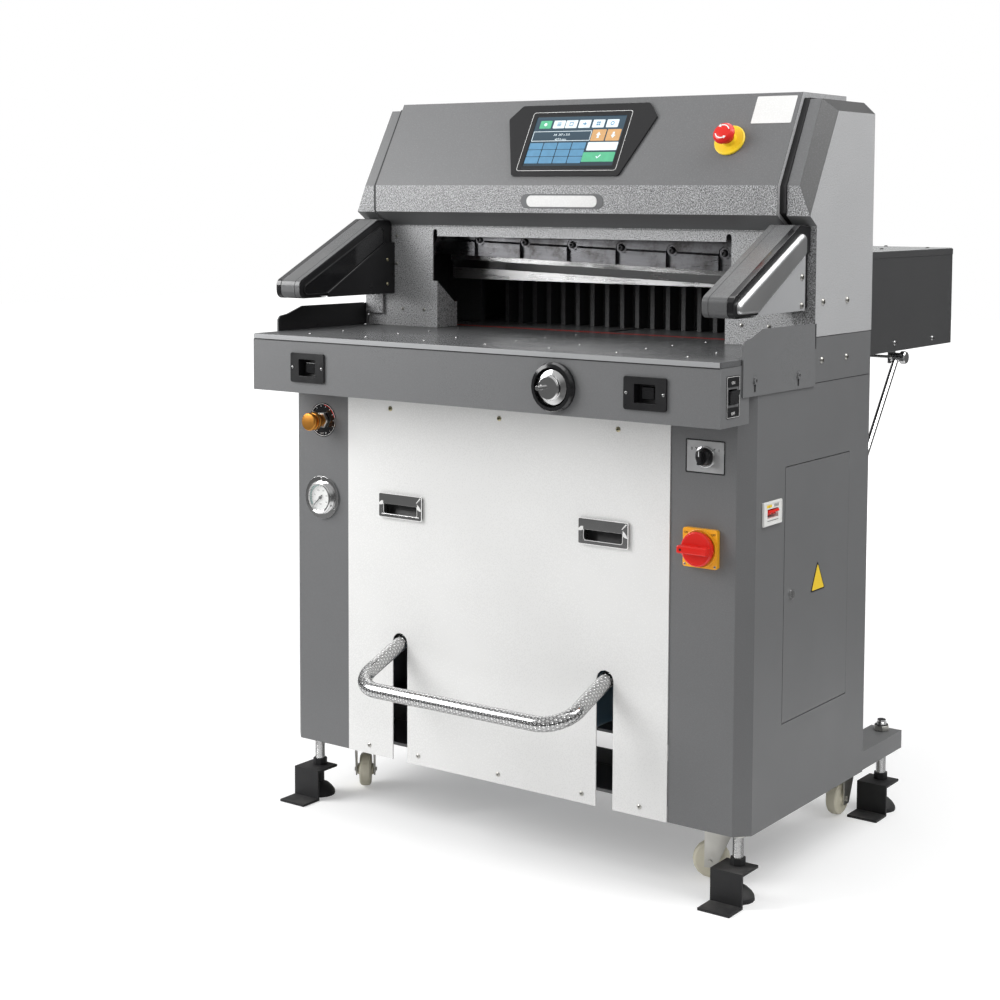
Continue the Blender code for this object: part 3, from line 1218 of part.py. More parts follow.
def build_knife():
    blade = shear(plate("X", BLADE_YZ, -BLADE_HALF, BLADE_HALF))
    pin_x, pin_z = PIN_XZ
    piece("knife_blade", blade, "bright_steel", (pin_x, BLADE_YZ[0][0], pin_z))

    carrier = shear(plate("X", CARRIER_YZ, *CARRIER_X))
    pockets, bolts = [], []
    for share in CARRIER_BOLT_STEP_SHARES:
        x = CARRIER_BOLT_MID_X + share * CARRIER_BOLT_PITCH
        z = CARRIER_BOLT_Z + EDGE_FALL_SHARE * x
        half = CARRIER_POCKET_HALF
        low, high = CARRIER_POCKET_LOW, z + half
        outline = rounded(rectangle(x - half, x + half, low, high), half * ROUND_SHARE, (2, 3))
        pockets.append(plate("Y", outline, CARRIER_YZ[0][0] - CUT_OVER, CARRIER_POCKET_BACK))
        bolts.append(rod(
            CARRIER_BOLT_RADIUS, CARRIER_BOLT_FRONT, CARRIER_POCKET_BACK + SHEET, "Y",
                (x, 0, z), ROUND_STEPS // 2,
        ))
    bore = rod(PIN_RADIUS + PIN_CLEAR, CARRIER_YZ[0][0] - CUT_OVER, CARRIER_YZ[1][0] + CUT_OVER, "Y",
        (pin_x, 0, pin_z))
    cut(carrier, *pockets, bore)
    fuse(carrier, *bolts)
    piece("knife_carrier", carrier, "dark_steel", (pin_x, CARRIER_YZ[1][0], pin_z))

    along = Vector((ROD_SIDE_SHARE, 0, ROD_DOWN_SHARE))
    across = Vector((-along.z, 0, along.x))
    start = Vector((pin_x, 0, pin_z))
    end = start + along * ROD_LENGTH
    corners = (start + across * ROD_HALF, end + across * ROD_HALF, end - across * ROD_HALF,
        start - across * ROD_HALF)
    link = plate("Y", [(c.x, c.z) for c in corners], *ROD_Y)
    eye = rod(ROD_EYE, ROD_Y[0] + GAP, ROD_Y[1] - GAP, "Y", (pin_x, 0, pin_z))
    pin = rod(PIN_RADIUS, ROD_Y[0] - SHEET, PIN_BACK_Y, "Y", (pin_x, 0, pin_z))
    piece("knife_pull_rod", fuse_now(link, eye, pin), "bright_steel", (pin_x, ROD_Y[0], pin_z))


def build_clamp():
    count = COMB_COUNT_EACH_SIDE
    beam = box((-CLAMP_HALF, CLAMP_Y[0], CLAMP_Z[0]), (CLAMP_HALF, CLAMP_Y[1], CLAMP_Z[1]))
    notches = []
    for step in range(-count, count + 1):
        x = step * COMB_PITCH
        notches.append(box(
            (x - CLAMP_NOTCH_HALF, CLAMP_NOTCH_Y, CLAMP_Z[0] - CUT_OVER),
            (x + CLAMP_NOTCH_HALF, CLAMP_Y[1] + CUT_OVER, CLAMP_NOTCH_TOP),
        ))
    cut(beam, together(notches))
    rods = []
    for side in (-1, 1):
        rods.append(turned(CLAMP_ROD_PROFILE, "Z", (side * CLAMP_ROD_X, CLAMP_ROD_Y, 0)))
    piece("clamp_beam", fuse_now(beam, *rods), "bright_steel")

    front, root, back = COMB_Y
    fingers = []
    for step in range(-count, count + 1):
        x = step * COMB_PITCH
        fingers.append(box(
            (x - COMB_FINGER_HALF, front, COMB_Z[0]), (x + COMB_FINGER_HALF, root + SHEET,
            COMB_Z[1] - SHEET),
        ))
    comb = fuse(box((-COMB_HALF, root, COMB_Z[0] + GAP), (COMB_HALF, back, COMB_Z[1])), together(fingers))
    stem, nut = box(*COMB_STEM), box(*COMB_NUT)
    bore = rod(SCREW_CLEAR, COMB_NUT[0][1] - CUT_OVER, COMB_NUT[1][1] + CUT_OVER, "Y",
        (SCREW_XZ[0], 0, SCREW_XZ[1]))
    piece("backgauge_comb", cut(fuse(comb, stem, nut), bore), "dark_frame",
        (SCREW_XZ[0], back, SCREW_XZ[1]))
    screw = rod(SCREW_RADIUS, *SCREW_Y, "Y", (SCREW_XZ[0], 0, SCREW_XZ[1]))
    piece("lead_screw", screw, "bright_steel", (SCREW_XZ[0], SCREW_Y[0], SCREW_XZ[1]))


def build_rear_box():
    outer = box((-BOX_HALF, BOX_Y[0], BOX_Z[0]), (BOX_HALF, BOX_Y[1], BOX_Z[1]))
    inside = box(
        (-BOX_HALF + BOX_SHEET, BOX_Y[0] - CUT_OVER, BOX_Z[0] + BOX_SHEET),
        (BOX_HALF - BOX_SHEET, BOX_Y[1] - BOX_SHEET, BOX_Z[1] - BOX_SHEET),
    )
    piece("rear_box", cut(outer, inside), "dark_frame")

    top_y, top_z = STRUT_TOP_YZ
    low_y, low_z = STRUT_LOW_YZ
    top, low = Vector((STRUT_X, top_y, top_z)), Vector((STRUT_X, low_y, low_z))
    strut = tube((top, low), STRUT_RADIUS)
    tools = []
    for spot in (top, low):
        centre = (STRUT_X, spot.y, spot.z)
        tools.append(rod(STRUT_END_RADIUS, -STRUT_END_HALF, STRUT_END_HALF, "X", centre, SMALL_STEPS))
    low_x, high_x, radius = STRUT_PIN
    tools.append(rod(radius, low_x, high_x, "X", (0, top_y, top_z), ROUND_STEPS // 2))
    tools.append(box(*STRUT_SHACKLE))
    tools.append(turned(STRUT_KNOB, "X", (0, top_y, top_z), SMALL_STEPS))
    tools.append(box(*STRUT_FOOT))
    tools.append(box(*STRUT_FOOT_EAR))
    right = new_solid(frozen(fuse(strut, *tools)))
    left = mirrored(right)
    cross = rod(STRUT_CROSS_RADIUS, -STRUT_X, STRUT_X, "X", (0, top_y, top_z), ROUND_STEPS // 2)
    piece("rear_struts", fuse_now(right, left, cross), "chrome")


def build_treadle():
    pivot_y, pivot_z = TREADLE_PIVOT_YZ
    bar_y, bar_z = TREADLE_BAR_YZ
    pivot = Vector((TREADLE_ARM_X, pivot_y, pivot_z))
    corner = Vector((TREADLE_ARM_X, bar_y, bar_z))
    run = (corner - pivot).normalized()
    start, inward = corner - run * TREADLE_BEND, Vector((-UNIT, 0, 0))
    centre = start + inward * TREADLE_BEND
    path = [pivot]
    for step in range(TREADLE_BEND_STEPS + 1):
        angle = math.pi / 2 * step / TREADLE_BEND_STEPS
        path.append(centre - inward * TREADLE_BEND * math.cos(angle) + run * TREADLE_BEND * math.sin(angle))
    path += [Vector((-spot.x, spot.y, spot.z)) for spot in reversed(path)]
    bar = tube(path, TREADLE_RADIUS)
    shaft = rod(TREADLE_SHAFT_RADIUS, -TREADLE_SHAFT_HALF, TREADLE_SHAFT_HALF, "X", (0, pivot_y, pivot_z))
    hubs = []
    for side in (-1, 1):
        low = side * TREADLE_ARM_X - TREADLE_HUB_HALF
        hubs.append(rod(TREADLE_HUB, low, low + TREADLE_HUB_HALF * 2, "X", (0, pivot_y, pivot_z)))
    piece("treadle_bar", fuse_now(bar, shaft, *hubs), "chrome", (0, pivot_y, pivot_z))


def build_feet():
    for (x, y), row in zip(FOOT_XY, ("front", "rear")):
        pad = turned(FOOT_PAD, "Z", (x, y, 0))
        stem = turned(FOOT_STEM, "Z", (x, y, 0), ROUND_STEPS // 2)
        outline = [(y + ahead, up) for ahead, up in FOOT_BRACKET_YZ]
        bracket = plate("X", outline, x - FOOT_BRACKET_HALF, x + FOOT_BRACKET_HALF)
        right = fuse_now(pad, stem, bracket)
        left = mirrored(right)
        piece("foot_%s_right" % row, right, "rubber")
        piece("foot_%s_left" % row, left, "rubber")


def caster_parts(pivot, wheel):
    """A fork about its pivot and the direction in which its wheel trails."""
    pivot, wheel = Vector((*pivot, 0)), Vector((*wheel, 0))
    trail = (wheel - pivot).length
    turn = math.atan2(wheel.y - pivot.y, wheel.x - pivot.x)
    wide, deep, thick = CASTER_PLATE
    neck = rod(CASTER_NECK, CASTER_NECK_LOW - CASTER_CROWN_THICK, CASTER_TOP_Z - thick / 2, "Z")
    top = box((-wide, -deep, CASTER_TOP_Z - thick), (wide, deep, CASTER_TOP_Z))
    outer = CASTER_CHEEK_HALF + CASTER_CHEEK_THICK
    crown = box(
        (-CASTER_NECK, -outer - GAP * 2, CASTER_NECK_LOW - CASTER_CROWN_THICK * 2),
        (trail + CASTER_CHEEK_ROUND + GAP * 2, outer + GAP * 2, CASTER_NECK_LOW - CASTER_CROWN_THICK + GAP),
    )
    low = CASTER_AXLE_Z - CASTER_CHEEK_ROUND
    high = CASTER_NECK_LOW - CASTER_CROWN_THICK * 2 + GAP * 3
    outline = (
        (-CASTER_CHEEK_WIDE, high), (trail - CASTER_CHEEK_ROUND, low), (trail + CASTER_CHEEK_ROUND, low),
        (trail + CASTER_CHEEK_ROUND, high),
    )
    cheeks = []
    for side in (-1, 1):
        near, far = sorted((side * CASTER_CHEEK_HALF, side * outer))
        cheeks.append(plate("Y", outline, near, far))
    axle = rod(CASTER_AXLE_RADIUS, -outer - CASTER_CHEEK_THICK, outer + CASTER_CHEEK_THICK, "Y",
               (trail, 0, CASTER_AXLE_Z), ROUND_STEPS // 2)
    fork = fuse_now(neck, top, crown, *cheeks, axle)
    fork.data.transform(Matrix.Translation(pivot) @ Matrix.Rotation(turn, 4, 'Z'))
    disc = turned(CASTER_WHEEL_PROFILE, "Y")
    bore = rod(CASTER_BORE, -CUT_OVER * 2, CUT_OVER * 2, "Y", steps=ROUND_STEPS // 2)
    roller = smooth(new_solid(frozen(cut(disc, bore))))
    spot = Vector((wheel.x, wheel.y, CASTER_AXLE_Z))
    roller.data.transform(Matrix.Translation(spot) @ Matrix.Rotation(turn, 4, 'Z'))
    return fork, roller, spot


def build_casters():
    for side, (wheel_x, wheel_y) in zip((-1, 1), CASTER_WHEEL_XY):
        name = "left" if side < 0 else "right"
        pivot = (side * CASTER_PIVOT[0], CASTER_PIVOT[1])
        fork, roller, spot = caster_parts(pivot, (wheel_x, wheel_y))
        piece("caster_fork_" + name, fork, "zinc", (*pivot, CASTER_TOP_Z))
        piece("caster_wheel_" + name, roller, "cream_nylon", spot)
    x, y = CASTER_REAR_XY
    fork, roller, spot = caster_parts((x, y), (x, y - CASTER_REAR_TRAIL))
    strip = box(
        (-x, y - CASTER_STRIP_HALF, CASTER_TOP_Z - CASTER_STRIP_THICK),
        (x, y + CASTER_STRIP_HALF, CASTER_TOP_Z - GAP),
    )
    left_fork, left_roller = mirrored(fork), mirrored(roller)
    piece("rear_caster_forks", fuse_now(fork, left_fork, strip), "zinc")
    piece("rear_wheel_right", roller, "cream_nylon", spot)
    piece("rear_wheel_left", left_roller, "cream_nylon", (-spot.x, spot.y, spot.z))


def build_hydraulics():
    tank = soften(box(*TANK), TANK_ROUND)
    motor = turned(MOTOR_PROFILE, "Z", (*MOTOR_XY, 0), FINE_STEPS)
    valve = box(*VALVE)
    piece("hydraulic_pack", fuse_now(tank, motor, valve), "tank_grey")


def keep_used_cutters():
    """Drops working shapes that no live modifier uses and carries the rest along."""
    used, waiting = set(), list(PARTS.objects)
    while waiting:
        for change in waiting.pop().modifiers:
            target = getattr(change, "object", None)
            if target is not None and target.name not in used:
                used.add(target.name)
                waiting.append(target)
    number = 0
    for item in list(CUTTERS.objects):
        if item.name not in used:
            bpy.data.objects.remove(item, do_unlink=True)
            continue
        item.parent = MACHINE
        number += 1
        item.name = "cutter_%03d" % number


build_cabinet()
build_base()
build_table()
build_face()
build_hood()
build_guards()
build_apron_controls()
build_column_controls()
build_side_fittings()
build_knife()
build_clamp()
build_rear_box()
build_treadle()
build_feet()
build_casters()
build_hydraulics()
keep_used_cutters()
bpy.context.view_layer.update()
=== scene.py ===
"""Finishes, small fittings and studio for a packed electric paper cutter, laid out as an add-on."""

import math

import bmesh
import bpy
from mathutils import Matrix, Vector


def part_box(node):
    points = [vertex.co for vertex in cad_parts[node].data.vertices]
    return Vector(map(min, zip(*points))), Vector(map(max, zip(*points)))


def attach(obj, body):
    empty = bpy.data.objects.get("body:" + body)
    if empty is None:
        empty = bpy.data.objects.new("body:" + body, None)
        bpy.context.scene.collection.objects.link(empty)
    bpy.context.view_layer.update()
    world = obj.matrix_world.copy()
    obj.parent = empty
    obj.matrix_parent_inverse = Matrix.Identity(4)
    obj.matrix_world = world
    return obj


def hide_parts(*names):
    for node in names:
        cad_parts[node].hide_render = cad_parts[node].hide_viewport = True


bl_info = {
    "name": "Paper Cutter Looks",
    "version": (1, 0, 0),
    "blender": (4, 5, 0),
    "location": "View3D > Sidebar > Cutter",
    "description": "Dresses the packed paper cutter with finishes, small fittings and a studio",
    "category": "Object",
}

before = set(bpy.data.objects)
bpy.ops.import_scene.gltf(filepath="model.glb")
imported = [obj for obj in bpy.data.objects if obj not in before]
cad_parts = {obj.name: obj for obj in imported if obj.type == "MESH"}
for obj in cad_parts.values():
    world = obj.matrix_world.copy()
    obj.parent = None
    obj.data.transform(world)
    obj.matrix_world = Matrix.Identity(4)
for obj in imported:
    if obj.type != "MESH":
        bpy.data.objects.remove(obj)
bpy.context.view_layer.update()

# Places and sizes that the fittings share, in metres; depths count back from the front of the column covers
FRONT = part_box("column_cover_right")[0].y
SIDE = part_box("column_cover_right")[1].x
SEAT = 0.0002  # the gap between a fitting and the face that carries it
PRINT = (SEAT, 0.0006)  # the levels of a printed mark or a thin plate on its face
BRACKET_SIDE, BREAKER_SIDE = 0.5003, 0.5036  # the faces that carry the rocker switch and the breaker
SHEEN_DEG = 32.0  # edges steeper than this stay sharp
ROUND = 48  # steps round a turned form
FORWARD = Vector((0, -1, 0))
RIGHT = Vector((1, 0, 0))
UP = Vector((0, 0, 1))


def at(x, y, z):
    """A point of the frame from the cabinet's own depth count."""
    return Vector((x, y + FRONT, z))


# Shapes
def skin(form, near, far):
    """Faces between two rings that hold the same number of vertices."""
    for i in range(len(near)):
        j = (i + 1) % len(near)
        form.faces.new((near[i], near[j], far[j], far[i]))


def loft(form, sections):
    """A closed body through a row of sections that hold the same number of points."""
    rings = [[form.verts.new(point) for point in section] for section in sections]
    for near, far in zip(rings, rings[1:]):
        skin(form, near, far)
    form.faces.new(rings[0])
    form.faces.new(rings[-1])
    return form


def slab(form, axis, outline, low, high):
    """A flat body across the X or Z axis, between two levels on it."""
    place = {"X": lambda a, b, level: at(level, a, b), "Z": at}[axis]
    return loft(form, [[place(a, b, level) for a, b in outline] for level in (low, high)])


def wing(form, side, outline, near, far):
    """A slab across X at one side of the machine, between two distances from its middle plane."""
    return slab(form, "X", outline, *sorted((side * near, side * far)))


def block(form, low, high):
    """A box between two corners."""
    return slab(form, "Z", rectangle(low[0], high[0], low[1], high[1]), low[2], high[2])


def rectangle(low_a, high_a, low_b, high_b):
    """The outline of a rectangle in a face's own two directions."""
    return [(low_a, low_b), (high_a, low_b), (high_a, high_b), (low_a, high_b)]


def rounded(outline, radius, steps=6):
    """The outline with an arc at its corners; radius is one size or one for each corner."""
    made = []
    for i, corner in enumerate(outline):
        size = radius if isinstance(radius, float) else radius[i]
        here = Vector(corner)
        back, ahead = Vector(outline[i - 1]) - here, Vector(outline[(i + 1) % len(outline)]) - here
        half = back.angle(ahead) / 2
        reach = size / math.tan(half)
        middle = here + (back.normalized() + ahead.normalized()).normalized() * (size / math.sin(half))
        first = here + back.normalized() * reach - middle
        swing = first.angle_signed(here + ahead.normalized() * reach - middle)
        for step in range(steps + 1):
            made.append(tuple(middle + Matrix.Rotation(-swing * step / steps, 2) @ first))
    return made


def turn_to(axis):
    return UP.rotation_difference(Vector(axis)).to_matrix()


def round_turns(count):
    return [2 * math.pi * i / count for i in range(count)]


def heading(path, i):
    """The direction of a path at one of its points."""
    return (path[min(i + 1, len(path) - 1)] - path[max(i - 1, 0)]).normalized()


def lathe(form, profile, centre, axis, steps=ROUND):
    """A profile of radius and height turned about an axis through the centre."""
    turn, rings = turn_to(axis), []
    for radius, height in profile:
        rings.append([
            form.verts.new(centre + turn @ Vector((radius * math.cos(t), radius * math.sin(t), height)))
            for t in round_turns(steps if radius else 1)
        ])
    for near, far in zip(rings, rings[1:]):
        for i in range(steps):
            j = (i + 1) % steps
            corners = (near[i % len(near)], near[j % len(near)], far[j % len(far)], far[i % len(far)])
            corners = list(dict.fromkeys(corners))
            if len(corners) > 2:
                form.faces.new(corners)
    return form


def sweep(form, path, radius, steps):
    """A round bar along a path; its own length and girth go into a UV layer, in metres."""
    path = [Vector(point) for point in path]
    side = (path[1] - path[0]).orthogonal()
    rings, along = [], [0.0]
    for i, here in enumerate(path):
        ahead = heading(path, i)
        side = (side - ahead * side.dot(ahead)).normalized()
        over = ahead.cross(side)
        rings.append([
            form.verts.new(here + (side * math.cos(t) + over * math.sin(t)) * radius) for t in round_turns(steps)
        ])
        if i:
            along.append(along[-1] + (here - path[i - 1]).length)
    layer = form.loops.layers.uv.verify()
    girth = 2 * math.pi * radius
    for i in range(len(path) - 1):
        for k in range(steps):
            j = (k + 1) % steps
            face = form.faces.new((rings[i][k], rings[i][j], rings[i + 1][j], rings[i + 1][k]))
            share = ((i, k), (i, k + 1), (i + 1, k + 1), (i + 1, k))
            for loop, (ring, turn) in zip(face.loops, share):
                loop[layer].uv = (along[ring], girth * turn / steps)
    form.faces.new(rings[0])
    form.faces.new(rings[-1])
    return form


def bend(corners, radius, steps):
    """A path through the corners with an arc at each inner one."""
    corners = [Vector(corner) for corner in corners]
    path = [corners[0]]
    for before, here, after in zip(corners, corners[1:], corners[2:]):
        back, ahead = (before - here).normalized(), (after - here).normalized()
        half = back.angle(ahead) / 2
        reach = radius / math.tan(half)
        middle = here + (back + ahead).normalized() * (radius / math.sin(half))
        first, last = here + back * reach - middle, here + ahead * reach - middle
        whole = first.angle(last)
        for step in range(steps + 1):
            share = whole * step / steps
            lean = first * math.sin(whole - share) + last * math.sin(share)
            path.append(middle + lean / math.sin(whole))
    return path + [corners[-1]]


def mesh_of(form, name):
    """The form as a mesh whose faces look outwards; the form goes."""
    mesh = bpy.data.meshes.new(name)
    bmesh.ops.recalc_face_normals(form, faces=form.faces)
    form.to_mesh(mesh)
    form.free()
    return mesh


def loose(form, name="loose"):
    """The form as an object that isn't a piece yet."""
    made = bpy.data.objects.new(name, mesh_of(form, name))
    bpy.context.scene.collection.objects.link(made)
    return made


def drawn(obj):
    """The object's mesh with its modifiers, as a new form; the object goes."""
    bpy.context.view_layer.update()
    form = bmesh.new()
    form.from_object(obj, bpy.context.evaluated_depsgraph_get())
    bpy.data.objects.remove(obj)
    return form


def carve(form, *tools, way='DIFFERENCE'):
    """The form with the tools cut out of it, or joined to it."""
    base, cutters = loose(form), [loose(tool) for tool in tools]
    for cutter in cutters:
        change = base.modifiers.new("carve", 'BOOLEAN')
        change.operation, change.solver, change.object = way, 'EXACT', cutter
    made = drawn(base)
    for cutter in cutters:
        bpy.data.objects.remove(cutter)
    return made


def eased(form, width, segments=2, degrees=SHEEN_DEG):
    """The form with its sharp edges rounded."""
    base = loose(form)
    change = base.modifiers.new("ease", 'BEVEL')
    change.width, change.segments, change.angle_limit = width, segments, math.radians(degrees)
    change.limit_method, change.miter_outer = 'ANGLE', 'MITER_ARC'
    return drawn(base)


def stamp(form, pattern, matrix):
    """Adds a moved copy of the pattern mesh to the form."""
    copy = pattern.copy()
    copy.transform(matrix)
    form.from_mesh(copy)
    bpy.data.meshes.remove(copy)


def facing(point, axis, turn):
    """A matrix that stands a pattern on the point, its own height along the axis."""
    return Matrix.Translation(point) @ turn_to(axis).to_4x4() @ Matrix.Rotation(turn, 4, 'Z')


def piece(name, form, look, body="root", instead=(), degrees=SHEEN_DEG):
    """Makes the form a shown piece that rides on a body, and hides the nodes it stands for."""
    made = loose(form, name)
    made.data.shade_smooth()
    made.data.set_sharp_from_angle(angle=math.radians(degrees))
    even = made.modifiers.new("even", 'WEIGHTED_NORMAL')
    even.keep_sharp = True
    made.data.materials.append(finish_named(look))
    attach(made, body)
    if instead:
        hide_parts(*instead)
    return made


def finish_named(look):
    """The finish of that name; raises if it hasn't been made."""
    found = bpy.data.materials.get(look)
    if found is None:
        raise RuntimeError("make the finishes before the pieces: there is no finish named " + look)
    return found


# Shader helpers
def node(tree, kind, feeds=None, **settings):
    """Adds a node, sets it, and feeds its sockets with values or with other sockets."""
    made = tree.nodes.new(kind)
    for key, value in settings.items():
        setattr(made, key, value)
    for key, value in (feeds or {}).items():
        if isinstance(value, bpy.types.NodeSocket):
            tree.links.new(value, made.inputs[key])
        else:
            made.inputs[key].default_value = value
    return made


def calc(tree, operation, *values):
    """One step of arithmetic on values or sockets."""
    return node(tree, 'ShaderNodeMath', dict(enumerate(values)), operation=operation).outputs[0]


def plus(tree, a, b):
    return calc(tree, 'ADD', a, b)


def minus(tree, a, b):
    return calc(tree, 'SUBTRACT', a, b)


def times(tree, a, b):
    return calc(tree, 'MULTIPLY', a, b)


def span(tree, value, low, high, to_low=0.0, to_high=1.0):
    """Maps a value smoothly from one range to another, held at both ends."""
    feeds = {0: value, 1: low, 2: high, 3: to_low, 4: to_high}
    return node(tree, 'ShaderNodeMapRange', feeds, interpolation_type='SMOOTHSTEP').outputs[0]


def tint(tree, factor, low, high):
    """Mixes two colours; the factor is a value or a socket."""
    return node(tree, 'ShaderNodeMix', {0: factor, 6: low, 7: high}, data_type='RGBA').outputs[2]


def spots(tree, kind='Object'):
    """The shaded point in the object's own coordinates, or in another kind."""
    return node(tree, 'ShaderNodeTexCoord').outputs[kind]


def stretch(tree, vector, scale):
    return node(tree, 'ShaderNodeVectorMath', {0: vector, 1: scale}, operation='MULTIPLY').outputs[0]


def cloud(tree, vector, scale, detail=2.0, rough=0.5):
    """Noise from 0 to 1 at a scale per metre."""
    feeds = {"Vector": vector, "Scale": scale, "Detail": detail, "Roughness": rough}
    return node(tree, 'ShaderNodeTexNoise', feeds).outputs[0]


def new_group(name, takes, gives):
    """A shader node group with named sockets; returns its tree, its inputs by name, and its end node."""
    tree = bpy.data.node_groups.new(name, 'ShaderNodeTree')
    for label, kind, value in takes:
        tree.interface.new_socket(label, in_out='INPUT', socket_type='NodeSocket' + kind).default_value = value
    for label, kind in gives:
        tree.interface.new_socket(label, in_out='OUTPUT', socket_type='NodeSocket' + kind)
    start, end = tree.nodes.new('NodeGroupInput'), tree.nodes.new('NodeGroupOutput')
    return tree, start.outputs, end


def use_group(tree, name, feeds):
    """Adds one of the shared groups; returns its outputs."""
    return node(tree, 'ShaderNodeGroup', feeds, node_tree=bpy.data.node_groups[name]).outputs


def group_powder():
    """Powder coat: its tone drift, its flecks and its orange peel."""
    tree, take, end = new_group(
        "powder_skin",
        (("Colour", 'Color', (0.1, 0.1, 0.1, 1)), ("Fleck", 'Float', 0.1), ("Grain", 'Float', 900.0),
         ("Roughness", 'Float', 0.45), ("Peel", 'Float', 0.5)),
        (("Colour", 'Color'), ("Roughness", 'Float'), ("Height", 'Float')),
    )
    place = spots(tree)
    drift = cloud(tree, place, 3.1, 3.0)
    grit = cloud(tree, place, take["Grain"], 1.0)
    peel = cloud(tree, place, times(tree, take["Grain"], take["Peel"]), 2.0)
    fleck = span(tree, grit, 0.5, 0.74)
    light = tint(tree, times(tree, fleck, take["Fleck"]), take["Colour"], (0.75, 0.76, 0.78, 1))
    dark = times(tree, span(tree, grit, 0.5, 0.28), take["Fleck"])
    speckled = tint(tree, dark, light, (0.01, 0.01, 0.012, 1))
    drifted = tint(tree, span(tree, drift, 0.25, 0.75, 0.0, 0.1), speckled, (0.02, 0.02, 0.02, 1))
    tree.links.new(drifted, end.inputs["Colour"])
    shift = plus(tree, span(tree, drift, 0.3, 0.7, -0.05, 0.05), span(tree, grit, 0.3, 0.7, -0.05, 0.05))
    tree.links.new(plus(tree, take["Roughness"], shift), end.inputs["Roughness"])
    tree.links.new(plus(tree, grit, peel), end.inputs["Height"])


def group_edge_wear():
    """Where a coat is rubbed thin along its sharp edges."""
    tree, take, end = new_group(
        "edge_wear", (("Reach", 'Float', 0.002), ("Amount", 'Float', 0.5)), (("Mask", 'Float'),)
    )
    round_off = node(tree, 'ShaderNodeBevel', {"Radius": take["Reach"]}, samples=4).outputs[0]
    true = node(tree, 'ShaderNodeNewGeometry').outputs["Normal"]
    close = node(tree, 'ShaderNodeVectorMath', {0: round_off, 1: true}, operation='DOT_PRODUCT').outputs["Value"]
    edge = span(tree, close, 0.995, 0.86)
    patch = span(tree, cloud(tree, spots(tree), 38.0, 4.0, 0.7), 0.42, 0.7)
    both = times(tree, edge, calc(tree, 'MAXIMUM', patch, 0.25))
    tree.links.new(times(tree, both, take["Amount"]), end.inputs["Mask"])


def group_dust():
    """A thin film of dust on what faces up."""
    tree, take, end = new_group("dust_film", (("Amount", 'Float', 0.2),), (("Mask", 'Float'),))
    normal = node(tree, 'ShaderNodeNewGeometry').outputs["Normal"]
    height = node(tree, 'ShaderNodeSeparateXYZ', {0: normal}).outputs[2]
    flat = span(tree, height, 0.35, 0.98)
    patch = span(tree, cloud(tree, spots(tree), 9.0, 5.0, 0.65), 0.3, 0.8)
    mask = times(tree, times(tree, flat, patch), take["Amount"])
    tree.links.new(mask, end.inputs["Mask"])


def group_brushed():
    """Fine lines of a ground or brushed face; the stretch sets their direction."""
    tree, take, end = new_group(
        "brushed_lines",
        (("Stretch", 'Vector', (20.0, 900.0, 900.0)), ("Roughness", 'Float', 0.3)),
        (("Shade", 'Float'), ("Roughness", 'Float'), ("Height", 'Float')),
    )
    place = stretch(tree, spots(tree), take["Stretch"])
    lines = cloud(tree, place, 1.0, 3.0, 0.6)
    drift = cloud(tree, spots(tree), 11.0, 3.0)
    tree.links.new(span(tree, lines, 0.3, 0.7), end.inputs["Shade"])
    shift = plus(tree, span(tree, lines, 0.3, 0.7, -0.05, 0.05), span(tree, drift, 0.3, 0.7, -0.06, 0.06))
    tree.links.new(plus(tree, take["Roughness"], shift), end.inputs["Roughness"])
    tree.links.new(lines, end.inputs["Height"])


def group_smudges():
    """Wiped marks and finger film, as a change of roughness."""
    tree, take, end = new_group(
        "smudges",
        (("Size", 'Float', 20.0), ("Low", 'Float', 0.05), ("High", 'Float', 0.15)),
        (("Value", 'Float'),),
    )
    broad = cloud(tree, spots(tree), take["Size"], 4.0, 0.6)
    fine = cloud(tree, spots(tree), times(tree, take["Size"], 14.0), 2.0)
    mixed = plus(tree, times(tree, broad, 0.75), times(tree, fine, 0.25))
    made = node(tree, 'ShaderNodeMapRange', {0: mixed, 1: 0.35, 2: 0.65, 3: take["Low"], 4: take["High"]})
    tree.links.new(made.outputs[0], end.inputs["Value"])


# Finishes
def new_finish(name, **constants):
    """A material whose shader gets its constants on its own sockets; returns its tree and shader."""
    made = bpy.data.materials.new(name)
    made.use_nodes = True
    shader = made.node_tree.nodes["Principled BSDF"]
    for key, value in constants.items():
        shader.inputs[key.replace("_", " ")].default_value = value
    return made.node_tree, shader


def lean_on(tree, shader, height, strength, distance):
    """Bumps the shader's normal by a height; the distance is in metres."""
    feeds = {"Strength": strength, "Distance": distance, "Height": height}
    tree.links.new(node(tree, 'ShaderNodeBump', feeds).outputs[0], shader.inputs["Normal"])


def dusty(tree, amount):
    return use_group(tree, "dust_film", {"Amount": amount})["Mask"]


def rubbed_edges(tree, reach, amount):
    return use_group(tree, "edge_wear", {"Reach": reach, "Amount": amount})["Mask"]


def smudged(tree, shader, size, low, high):
    """Wiped marks in the shader's roughness."""
    marks = use_group(tree, "smudges", {"Size": size, "Low": low, "High": high})["Value"]
    tree.links.new(marks, shader.inputs["Roughness"])


def colour_of(values, share=1.0):
    """The colour with its alpha, darker or lighter by the share."""
    return (*[value * share for value in values[:3]], 1.0)


